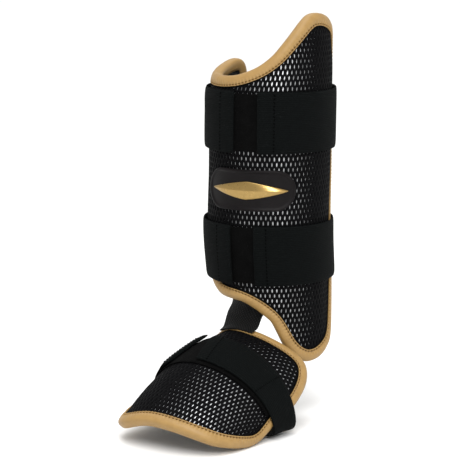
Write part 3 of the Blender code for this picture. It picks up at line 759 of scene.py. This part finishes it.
def pad_body(name):
    """A padded panel: outer face, sides and inner face of one closed body, the lining swollen.

    Outer face: form(turn, along, sink - mesh depth). Inner face: the same place, lower by the
    padding's thickness, which falls from PAD inside to PAD_EDGE at the binding as the sink does.
    """
    fine = 3
    rows_of, length_of, form, grid, _ = PANELS[name]
    lines = panel_lines(name, fine)
    grid = (grid[0] * fine, grid[1] * fine)
    inner = filled(lines[2], grid)
    turn, along = inner[..., 0], inner[..., 1]
    low = sink(from_edge(name, turn, along))
    thick = PAD + (PAD_EDGE - PAD) * low / -PILLOW
    film_lift = low - sizes().mesh_depth
    x = lengths(form(turn[len(turn) // 2], along[len(turn) // 2], 0))
    y = lengths(form(turn[:, turn.shape[1] // 2], along[:, turn.shape[1] // 2], 0))
    outer = carried(form(turn, along, film_lift), y, x)
    back = carried(form(turn, along, low - thick), y, x)
    ring = [lines[2], lines[1], lines[1], lines[2]]
    lifts = [None, -PILLOW - 0.1 * MM, -PILLOW - PAD_EDGE, None]
    rim_turn, rim_along = lines[2].T
    rim_low = sink(from_edge(name, rim_turn, rim_along))
    rim_thick = PAD + (PAD_EDGE - PAD) * rim_low / -PILLOW
    lifts[0], lifts[3] = rim_low - sizes().mesh_depth, rim_low - rim_thick
    wall = np.stack([form(*line.T, lift + 0 * line[:, 0]) for line, lift in zip(ring, lifts)], 1)
    side = carried(wall, lengths(wall[:, 0], True), [0, 8 * MM, 13 * MM, 21 * MM], close_run=True)
    made = joined(outer, back, side)
    obj = put(name + "_padding", made, stuff(film), (name + "_pad",))
    obj.data.materials.append(stuff(lining))
    count = len(outer[1])
    which = np.ones(len(obj.data.polygons), np.int32)
    which[:count] = 0
    obj.data.polygons.foreach_set("material_index", which)
    points = np.empty(len(obj.data.vertices) * 3, np.float32)
    obj.data.vertices.foreach_get("co", points)
    points = points.reshape(-1, 3)
    free = from_middle(points, back[0], lines, form, low.shape)
    swollen(obj, np.round(1 - free, 1), sizes().swell_frames, sizes().swell)
    return obj


def from_middle(points, back, lines, form, shape):
    """How free each point is: a sine from 0 at the inner face's border to 1 inside, 0 elsewhere."""
    i, j = np.meshgrid(np.arange(shape[0]), np.arange(shape[1]), indexing="ij")
    depth = np.minimum(np.minimum(i, shape[0] - 1 - i), np.minimum(j, shape[1] - 1 - j)).ravel()
    share = np.sin(np.pi / 2 * np.clip(depth / 12, 0, 1))
    keys = np.round(back * 1e5).astype(np.int64) @ np.array([1, 1_000_003, 998_244_353])
    mine = np.round(points * 1e5).astype(np.int64) @ np.array([1, 1_000_003, 998_244_353])
    order = np.argsort(keys)
    spot = np.clip(np.searchsorted(keys[order], mine), 0, len(keys) - 1)
    found = keys[order][spot] == mine
    return np.where(found, share[order][spot], 0)


def arc_to_turn(name):
    """Widths across a panel and their turns, measured at the middle of its length."""
    _, length_of, form, _, _ = PANELS[name]
    turns = np.linspace(-160, 160, 641)
    run = lengths(form(turns, np.full(641, 0.45 * length_of), 0))
    return run - run[320], turns


def mesh_cover(name):
    """The open mesh: staggered cells, each a ring of strand between its border and an oval hole.

    Border points lie on the cell's rectangle. The hole is (w cos a, l sin a) at matching angles.
    The strand is crowned: its lift falls from the border to the hole's rim and then to the film.
    """
    s = sizes()
    _, length_of, form, _, _ = PANELS[name]
    arc, turns = arc_to_turn(name)
    lines = panel_lines(name, 4)
    keep = between(lines, 7 * MM)
    columns, rows = np.meshgrid(np.arange(-45, 46), np.arange(-20, 70), indexing="ij")
    x = (columns + 0.5 * (rows % 2)) * s.hole_pitch
    y = rows * s.row_pitch
    here = np.stack([np.interp(x, arc, turns), y], -1).reshape(-1, 2)
    inside = within(here, keep)
    x, y = x.ravel()[inside], y.ravel()[inside]
    border = table((
        (-0.5, -0.5), (-0.25, -0.5), (0, -0.5), (0.25, -0.5), (0.5, -0.5), (0.5, 0), (0.5, 0.5),
        (0.25, 0.5), (0, 0.5), (-0.25, 0.5), (-0.5, 0.5), (-0.5, 0),
    ))
    angle = np.radians([225, 247, 270, 293, 315, 360, 45, 67, 90, 113, 135, 180])
    hole = np.stack([np.cos(angle) * s.hole_width / 2, np.sin(angle) * s.hole_length / 2])
    grow = 1 + 0.28 * MM / (s.hole_width / 2)
    rings = (
        (border * np.array([[s.hole_pitch], [s.row_pitch]]), 0.30 * MM),
        (hole * np.array([[grow], [1.07]]), 0.12 * MM),
        (hole, -s.mesh_depth - 0.1 * MM),
    )
    px = np.stack([x[:, None] + ring[0][None] for ring, _ in rings], 1)
    py = np.stack([y[:, None] + ring[1][None] for ring, _ in rings], 1)
    crown = np.broadcast_to(np.array([lift for _, lift in rings])[None, :, None], px.shape)
    count = len(x)
    r, k = np.meshgrid(np.arange(2), np.arange(12), indexing="ij")
    quads = np.stack([r * 12 + k, r * 12 + (k + 1) % 12, (r + 1) * 12 + (k + 1) % 12,
                      (r + 1) * 12 + k], -1).reshape(-1, 4)
    quads = (quads[None] + np.arange(count)[:, None, None] * 36).reshape(-1, 4)
    flat = np.stack([px.ravel(), py.ravel(), crown.ravel()], -1)
    _, first, index = np.unique(np.round(flat * 1e7), axis=0, return_index=True, return_inverse=True)
    flat, quads = flat[first], index.ravel()[quads]
    turn = np.interp(flat[:, 0], arc, turns)
    lift = sink(from_edge(name, turn, flat[:, 1])) + flat[:, 2]
    points = form(turn, flat[:, 1], lift)
    cloth = flat[:, :2][quads]
    return put(name + "_mesh_cover", (points, quads, cloth), stuff(spacer_mesh),
               flip=form is not LEG, closed=False)


def within(points, ring):
    """Which points lie inside a closed ring: a ray from each crosses it an odd number of times."""
    x, y = points[:, 0][:, None], points[:, 1][:, None]
    x1, y1 = ring[:, 0][None], ring[:, 1][None]
    x2, y2 = np.roll(x1, -1, 1), np.roll(y1, -1, 1)
    spans = (y1 > y) != (y2 > y)
    cut = x1 + (y - y1) * (x2 - x1) / np.where(y2 == y1, 1, y2 - y1)
    return (spans & (x < cut)).sum(1) % 2 == 1


def edge_binding(name):
    """The binding: its section carried round the edge, drawn in between its stitches.

    At each station the section's lift loses pucker * (1 + cos(2 pi run / pitch)) / 2, weighted by
    a bell about the seam, so the leather dips at each stitch and rises between them.
    """
    s = sizes()
    fine = PANELS[name][4]
    form = PANELS[name][2]
    lines = panel_lines(name, fine)
    inward, lift = table(BINDING_OUTSIDE)
    back = np.arange(len(inward)) > 12
    inward = inward * np.where(back, BINDING_BACK, BINDING_WIDTH)
    face = -PILLOW + GAP
    rear = -PILLOW - PAD_EDGE - 3 * GAP
    section = list(zip(inward, lift * MM)) + [
        (BINDING_BACK, rear), (LEATHER + 0.7 * MM, rear), (LEATHER, face + 2 * GAP),
        (BINDING_WIDTH, face + GAP),
    ]
    seam = between(lines, 0.88 * BINDING_WIDTH)
    run = lengths(form(*seam.T, 0 * seam[:, 0]), True)
    count = round(run[-1] / s.stitch_pitch)
    phase = 2 * np.pi * count * run[:-1] / run[-1]
    columns = []
    for k, (far, high) in enumerate(section):
        bell = math.exp(-(((far / BINDING_WIDTH - 0.86) / 0.14) ** 2)) if k < 9 else 0
        dip = s.pucker * bell * np.cos(phase)
        columns.append(form(*between(lines, far).T, high - dip))
    points = np.stack(columns, 1)
    across = lengths(points[0], True)
    made = carried(points, run, across, close_run=True, close_across=True)
    put(name + "_edge_binding", made, stuff(leather), (name + "_binding",))
    at = np.arange(count) / count * run[-1]
    spots = [np.stack([np.interp(v, run, np.append(seam[:, k], seam[0, k])) for k in (0, 1)], -1)
             for v in (at - 0.36 * s.stitch_pitch, at + 0.36 * s.stitch_pitch)]
    spots[0][0] = np.where(at[0] < 0.36 * s.stitch_pitch, seam[0], spots[0][0])
    start, end = (form(*spot.T, 0.42 * MM + 0 * spot[:, 0]) for spot in spots)
    normal = form(*spots[0].T, 1.0 + 0 * spots[0][:, 0]) - form(*spots[0].T, 0 * spots[0][:, 0])
    made = tubes(start, end, normal, s.stitch_thread)
    return put(name + "_binding_stitches", made, stuff(thread, "gold_polyester_thread", colours().thread))


def rounded(start, end, steps):
    """Turns from start to end, with closer ones at both ends for the rounded hems."""
    near = math.degrees(1 * MM / LEG_RADIUS) * np.array([0.0, 0.04, 0.16, 0.36, 0.66])
    return np.concatenate([start + near, np.linspace(start, end, steps)[1:-1], (end - near)[::-1]])


def band(name, form, turns, middle, width, lift, thick, material, replaces=(), ends=(0, 0),
         samples=21):
    """A flat band: a closed section carried along its turns, in to nothing at both ends.

    Across, s = sin(v) for v from -90 to 90 degrees, out and back. The lift is the mid lift plus or
    minus thick / 2 * (1 - s^10)^(1/2), so the selvedges are round. At an end it is multiplied by
    (1 - (1 - d / r)^2)^(1/2) at the distance d from the end, which rounds the hem.
    """
    middle, width, lift, thick = (np.broadcast_to(v, turns.shape) for v in (middle, width, lift, thick))
    s = np.sin(np.linspace(-np.pi / 2, np.pi / 2, samples))
    rise = np.sqrt(np.clip(1 - s**10, 0, 1))
    s = np.concatenate([s, s[::-1][1:-1]])
    rise = np.concatenate([rise, -rise[::-1][1:-1]])
    run = lengths(form(turns, middle, lift))
    r = thick / 2
    near = np.minimum(run, run[-1] - run)
    round_end = np.sqrt(np.clip(1 - (1 - np.clip(near / r, 0, 1)) ** 2, 0, 1))
    place = np.linspace(0, 1, len(turns))
    slant = (ends[0] * (1 - place) ** 8 + ends[1] * place**8)[:, None] * s[None] / 2
    across = middle[:, None] + width[:, None] / 2 * s[None]
    high = lift[:, None] + r[:, None] * (1 + rise[None] * round_end[:, None])
    points = form(turns[:, None] + slant, across, high)
    made = carried(points, run, lengths(points[len(points) // 2], True), close_across=True)
    return put(name, made, material, replaces)


def stitch_row(form, start, end, count, lift, zigzag=0.0):
    """Stitches from one (turn, along) to another: starts, ends and normals on the form."""
    t = (np.arange(count)[:, None] + np.array([0.1, 0.9])) / count
    start, end = np.array(start, float), np.array(end, float)
    place = start + (end - start) * t[..., None]
    if zigzag:
        way = zigzag * np.where(np.arange(count) % 2, 1, -1)
        place[:, 0, 0] -= way
        place[:, 1, 0] += way
    first, last = (form(place[:, k, 0], place[:, k, 1], lift + 0 * t[:, 0]) for k in (0, 1))
    above = form(place[:, 0, 0], place[:, 0, 1], lift + 1 + 0 * t[:, 0])
    return first, last, above - first


def shin_strap(name, height, gap_from, gap_to, patch_from, patch_to, rows):
    """A shin strap from the gap's right side round the back to its left side, and its patch."""
    stations = (
        # turn, lift, thickness in mm
        (gap_to, ON_LOOP, 1.7), (gap_to + 9, ON_LOOP, 1.7), (gap_to + 22, STRAP_LIFT, 1.7),
        (120, STRAP_LIFT, 1.7), (156, STRAP_LIFT, 1.7), (185, STRAP_LIFT - 1.6 * MM, 1.7),
        (216, STRAP_LIFT - 1 * MM, 1.7), (236, STRAP_LIFT, 1.7), (gap_from + 330, ON_LOOP, 1.7),
        (gap_from + 346, ON_LOOP + 0.4 * MM, 1.7), (gap_from + 351, ON_LOOP + 0.5 * MM, 2.1),
        (gap_from + 360, ON_LOOP + 0.9 * MM, 2.1),
    )
    turn, lift, thick = table(stations)
    fine = rounded(gap_to, gap_from + 360, 220)
    middle = height * SHIN_HEIGHT
    high, wall = np.interp(fine, turn, lift), np.interp(fine, turn, thick) * MM
    kernel = np.hanning(11) / np.hanning(11).sum()
    high = np.convolve(np.pad(high, 5, "edge"), kernel, "valid")
    wall = np.convolve(np.pad(wall, 5, "edge"), kernel, "valid")
    width = 50 * MM * (1 + 0.006 * np.sin(np.radians(fine * 3.1)))
    band(name + "_elastic_strap", LEG, fine, middle, width, high, wall, stuff(elastic),
         (name + "_strap",))
    patch = rounded(patch_from, patch_to, 40)
    band(name + "_velvet_patch", LEG, patch, middle, 47 * MM, LOOP_LIFT, LOOP_THICK, stuff(velvet),
         (name + "_loop_patch",))
    half = 24 * MM
    top = {turn_of: float(np.interp(turn_of % 360 if turn_of < 0 else turn_of, fine, high + wall))
           for turn_of in rows}
    parts = []
    for k, at in enumerate(rows):
        zigzag = 0.9 if k == 0 and name == "upper" else 0.25
        parts.append(stitch_row(LEG, (at, middle - half), (at, middle + half), 17, top[at], zigzag))
    start, end, normal = (np.vstack(column) for column in zip(*parts))
    made = tubes(start, end, normal, sizes().strap_thread, sunk=0.5)
    put(name + "_strap_stitches", made, stuff(thread, "black_polyester_thread", colours().black_thread))


def foot_strap_piece():
    """The strap over the instep and under the sole, its wide closing tab and its loop patch."""
    middle = 0.277 * FOOT_LENGTH
    stations = (
        # turn, lift, width in mm, thickness in mm
        (-3, ON_LOOP, 36, 2.1), (9, ON_LOOP, 36, 2.1), (14, ON_LOOP, 36, 1.7), (82, ON_LOOP, 36, 1.7),
        (92, STRAP_LIFT, 36, 1.7), (180, STRAP_LIFT, 36, 1.7), (285, STRAP_LIFT, 36, 1.7),
        (300, ON_LOOP, 42, 1.7), (316, ON_LOOP, 42, 1.9), (324, ON_LOOP + 0.1 * MM, 42, 3.0),
        (339, ON_LOOP + 0.2 * MM, 42, 3.2),
    )
    turn, lift, wide, thick = table(stations)
    fine = rounded(-3, 339, 240)
    kernel = np.hanning(9) / np.hanning(9).sum()
    columns = [np.interp(fine, turn, column) for column in (lift, wide * MM, thick * MM)]
    high, width, wall = (np.convolve(np.pad(c, 4, "edge"), kernel, "valid") for c in columns)
    band("foot_elastic_strap", BAND, fine, middle, width, high, wall, stuff(elastic),
         ("foot_strap",), ends=(9, -12))
    patch = rounded(-52, 75, 80)
    band("foot_velvet_patch", FOOT, patch, middle, 42.1 * MM, LOOP_LIFT, LOOP_THICK,
         stuff(velvet), ("foot_loop_patch",), ends=(0, 11))
    parts = []
    for at, slant in ((7.0, 3.0), (56.0, 0.0), (328.0, -4.0)):
        top = float(np.interp(at, fine, high + wall))
        half = 0.48 * float(np.interp(at, fine, width))
        parts.append(stitch_row(BAND, (at - slant, middle - half), (at + slant, middle + half), 13, top, 0.2))
    start, end, normal = (np.vstack(column) for column in zip(*parts))
    made = tubes(start, end, normal, sizes().strap_thread, sunk=0.5)
    put("foot_strap_stitches", made, stuff(thread, "black_polyester_thread", colours().black_thread))


def webbing_piece():
    """Webbing from inside the shin guard's lower edge down over the foot guard's rear binding.

    The hanging rows are parabolas across: y = y0 + bend * (2 s / width)^2. The laid rows lie on
    the foot form. A cubic Hermite joins them, and the whole is smoothed along its length.
    """
    width = 38 * MM
    s = np.linspace(-0.5, 0.5, 33) * width
    hanging = (
        # middle x, outer face y, height, how far the sides bend back: shares of the width
        (0.10, -0.922, 1.35, 0.16), (0.095, -0.922, 1.00, 0.16), (0.090, -0.927, 0.65, 0.16),
        (0.080, -0.927, 0.36, 0.15), (0.030, -0.984, 0.16, 0.12),
    )
    laid = ((-0.062, 2.1), (-0.050, 1.7), (-0.038, 1.4), (-0.027, 1.1), (-0.016, 0.9))
    rows = []
    for x, y, z, bend in np.array(hanging) * width:
        rows.append(np.stack([x + s, y + bend * (2 * s / width) ** 2, z + 0 * s], -1))
    for share, lift in laid:
        turn = np.degrees(np.arcsin(s / FOOT_HALF_WIDTH * np.where(s > 0, 0.80, 1.05))) - 1
        rows.append(FOOT(turn, np.full(len(s), share * FOOT_LENGTH), BEAD + lift * MM))
    rows = np.array(rows)
    stations = lengths(rows[:, 16])
    at = np.linspace(0, stations[-1], 121)
    flat = rows.reshape(len(rows), -1)
    slope = np.gradient(flat, stations, axis=0)
    k = np.clip(np.searchsorted(stations, at, side="right") - 1, 0, len(stations) - 2)
    size = (stations[k + 1] - stations[k])[:, None]
    t = (at - stations[k])[:, None] / size
    outer = (flat[k] * (1 + 2 * t) * (1 - t) ** 2 + flat[k + 1] * (3 - 2 * t) * t**2
             + slope[k] * size * t * (1 - t) ** 2 + slope[k + 1] * size * (t - 1) * t**2)
    outer = outer.reshape(len(at), len(s), 3)
    normal = np.cross(np.gradient(outer, axis=1), np.gradient(outer, axis=0))
    normal /= np.linalg.norm(normal, axis=-1)[..., None]
    normal *= -np.sign(normal[0, 16, 1])
    edge = np.sqrt(np.clip(1 - (2 * s / width) ** 12, 0, 1))[None, :, None]
    inner = outer - normal * 1.6 * MM * edge
    points = np.concatenate([outer, inner[:, ::-1][:, 1:-1]], 1)
    points[[0, -1], 33:] = points[[0, -1], 1:32][:, ::-1]
    across = lengths(points[60], True)
    made = carried(points, at, across, close_across=True)
    put("ankle_woven_webbing", made, stuff(nylon_webbing), ("ankle_webbing",))


def badge_piece():
    """A rubber patch with a rim, and a plain lozenge on it whose facets meet in a ridge.

    The patch: rings of a bar with round ends, each at its own inset and lift. The lozenge: half
    height * (1 - 0.93 |t|^1.3) for t from -1 to 1, its ridge higher by a parabola of t.
    """
    turn_of = math.degrees(1 / LEG_RADIUS)
    middle = BADGE_MIDDLE[1] * SHIN_HEIGHT
    wide, high = 80 * MM, 34 * MM
    a = np.radians(np.linspace(-90, 90, 49))
    section = ((0, 0.5), (0, 1.6), (0.15, 2.2), (0.6, 2.65), (1.2, 2.75), (1.9, 2.7), (2.4, 2.35), (2.8, 1.95),
               (3.4, 1.82), (6.0, 1.80), (10.0, 1.80), (14.0, 1.80), (16.9, 1.80))
    half = (wide - high) / 2
    bar = np.linspace(-half, half, 41)[1:-1]
    rings = []
    for inward, lift in section:
        radius = high / 2 - inward * MM
        right = np.stack([half + radius * np.cos(a), radius * np.sin(a)], -1)
        low = np.stack([bar, -radius + 0 * bar], -1)
        x, y = np.vstack([right, low[::-1] * [1, -1], -right, -low[::-1] * [1, -1]]).T
        rings.append(LEG(BADGE_MIDDLE[0] + x * turn_of, middle + y, lift * MM + 0 * x))
    points = np.stack(rings, 1)
    made = carried(points, lengths(points[:, 0], True), lengths(points[0]), close_run=True)
    put("badge_rubber_patch", made, stuff(rubber), ("badge_patch",), closed=True)
    t = np.linspace(-1, 1, 97)
    reach = 15 * MM / 2 * (1 - 0.93 * np.abs(t) ** 1.3)
    ridge = 1.9 * MM * (1 - 0.6 * t**2)
    profile = table(((-1, 0), (-1, 0.16), (-0.93, 0.30), (-0.5, 0.62), (-0.06, 0.97), (0, 1), (0.06, 0.97),
                     (0.5, 0.62), (0.93, 0.30), (1, 0.16), (1, 0)))
    base = 0.5 * MM + 1.3 * MM + GAP
    turns = BADGE_MIDDLE[0] + t * 66 * MM / 2 * turn_of
    points = LEG(turns[:, None] + 0 * profile[0][None], middle + reach[:, None] * profile[0][None],
                 base + ridge[:, None] * profile[1][None])
    made = carried(points, lengths(points[:, 5]), lengths(points[48], True), close_across=True)
    put("badge_gold_lozenge", made, stuff(gold_plastic), ("badge_emblem",))


def area_light(name, place, aim, size, watts, tone="ffffff"):
    """A soft square light at a place, aimed at a point."""
    data = bpy.data.lights.new(name, "AREA")
    data.size = size
    data.energy = watts
    data.color = linear(tone)
    lamp = bpy.data.objects.new(name, data)
    bpy.context.scene.collection.objects.link(lamp)
    lamp.location = place
    aimed(lamp, aim)
    return lamp


def aimed(obj, aim):
    """Turns an object's -Z axis to a point, its Y axis up."""
    way = Vector(aim) - obj.location
    obj.rotation_euler = way.to_track_quat("-Z", "Y").to_euler()


class GUARD_OT_padding(bpy.types.Operator):
    """Makes the shin and foot padding, with its film and its swollen lining."""

    bl_idname = "guard.padding"
    bl_label = "Padding"

    def execute(self, context):
        for name in PANELS:
            pad_body(name)
        return {"FINISHED"}


class GUARD_OT_mesh_cover(bpy.types.Operator):
    """Makes the open mesh that covers each pad."""

    bl_idname = "guard.mesh_cover"
    bl_label = "Mesh cover"

    def execute(self, context):
        for name in PANELS:
            mesh_cover(name)
        return {"FINISHED"}


class GUARD_OT_binding(bpy.types.Operator):
    """Makes the stitched bindings round both pads."""

    bl_idname = "guard.binding"
    bl_label = "Bindings"

    def execute(self, context):
        for name in PANELS:
            edge_binding(name)
        return {"FINISHED"}


class GUARD_OT_shin_straps(bpy.types.Operator):
    """Makes the two shin straps with their velvet patches and stitching."""

    bl_idname = "guard.shin_straps"
    bl_label = "Shin straps"

    def execute(self, context):
        for row in SHIN_STRAPS:
            shin_strap(*row)
        return {"FINISHED"}


class GUARD_OT_foot_strap(bpy.types.Operator):
    """Makes the foot strap with its tab, velvet patch and stitching."""

    bl_idname = "guard.foot_strap"
    bl_label = "Foot strap"

    def execute(self, context):
        foot_strap_piece()
        return {"FINISHED"}


class GUARD_OT_webbing(bpy.types.Operator):
    """Makes the webbing that carries the foot guard."""

    bl_idname = "guard.webbing"
    bl_label = "Webbing"

    def execute(self, context):
        webbing_piece()
        return {"FINISHED"}


class GUARD_OT_badge(bpy.types.Operator):
    """Makes the plain badge between the shin straps."""

    bl_idname = "guard.badge"
    bl_label = "Badge"

    def execute(self, context):
        badge_piece()
        return {"FINISHED"}


class GUARD_OT_stage(bpy.types.Operator):
    """Makes the floor, the lights and the camera."""

    bl_idname = "guard.stage"
    bl_label = "Stage"

    def execute(self, context):
        scene = context.scene
        level = CAD_BOX[0][2] - 0.6 * MM
        r = np.concatenate([np.linspace(0.001, 6, 25), 6 + 3 * np.sin(np.linspace(0.1, np.pi / 2, 16))])
        z = np.concatenate([np.zeros(25), 3 * (1 - np.cos(np.linspace(0.1, np.pi / 2, 16)))])
        a = np.linspace(0, 2 * np.pi, 96, endpoint=False)[:, None]
        points = np.stack([r * np.cos(a), r * np.sin(a), level + z + 0 * a], -1)
        points, quads, _ = carried(points, np.arange(97.0), r, close_run=True)
        mesh = bpy.data.meshes.new("studio_floor")
        mesh.from_pydata(points.tolist(), [], quads.tolist())
        mesh.materials.append(stuff(floor_paint))
        mesh.shade_smooth()
        floor = bpy.data.objects.new("studio_floor", mesh)
        scene.collection.objects.link(floor)

        azimuth, elevation = math.radians(42), math.radians(10.5)
        back = np.array([math.sin(azimuth) * math.cos(elevation),
                         -math.cos(azimuth) * math.cos(elevation), math.sin(elevation)])
        aim = np.array([-0.03363, -0.01257, 0.07104])
        data = bpy.data.cameras.new("camera")
        data.lens = 152.84
        data.sensor_width = 36
        data.sensor_fit = "HORIZONTAL"
        data.clip_end = 60
        camera = bpy.data.objects.new("camera", data)
        scene.collection.objects.link(camera)
        camera.location = aim + back * 1.66
        aimed(camera, aim)
        scene.camera = camera

        world = bpy.data.worlds.new("studio")
        world.use_nodes = True
        world.node_tree.nodes["Background"].inputs[0].default_value = (1, 1, 1, 1)
        world.node_tree.nodes["Background"].inputs[1].default_value = 0.66
        scene.world = world
        area_light("key", (1.0, -0.75, 0.75), (0, -0.02, 0.09), 0.4, 9)
        area_light("top", (-0.35, 0.15, 1.5), (0, -0.05, 0.05), 1.2, 9)
        sky = bpy.data.lights.new("sky", "SUN")
        sky.energy = 1.6
        sky.angle = math.radians(30)
        lamp = bpy.data.objects.new("sky", sky)
        scene.collection.objects.link(lamp)
        lamp.rotation_euler = (math.radians(25), 0, azimuth)
        scene.view_settings.view_transform = "Standard"
        return {"FINISHED"}


OPERATORS = (
    GUARD_OT_padding, GUARD_OT_mesh_cover, GUARD_OT_binding, GUARD_OT_shin_straps,
    GUARD_OT_foot_strap, GUARD_OT_webbing, GUARD_OT_badge, GUARD_OT_stage,
)


class GUARD_PT_panel(bpy.types.Panel):
    """Lists the guard's sizes, colours and operators."""

    bl_idname = "GUARD_PT_panel"
    bl_label = "Ankle guard"
    bl_space_type = "VIEW_3D"
    bl_region_type = "UI"
    bl_category = "Ankle guard"

    def draw(self, context):
        for group in (context.scene.guard_sizes, context.scene.guard_colours):
            for key in group.bl_rna.properties.keys()[2:]:
                self.layout.prop(group, key)
        for operator in OPERATORS:
            self.layout.operator(operator.bl_idname)


CLASSES = (GuardSizes, GuardColours, *OPERATORS, GUARD_PT_panel)


def register():
    for cls in CLASSES:
        bpy.utils.register_class(cls)
    bpy.types.Scene.guard_sizes = PointerProperty(type=GuardSizes)
    bpy.types.Scene.guard_colours = PointerProperty(type=GuardColours)


def unregister():
    del bpy.types.Scene.guard_sizes
    del bpy.types.Scene.guard_colours
    for cls in reversed(CLASSES):
        bpy.utils.unregister_class(cls)


def main():
    register()
    for operator in OPERATORS:
        group, name = operator.bl_idname.split(".")
        getattr(getattr(bpy.ops, group), name)()
    bpy.context.view_layer.update()


if __name__ == "__main__":
    main()
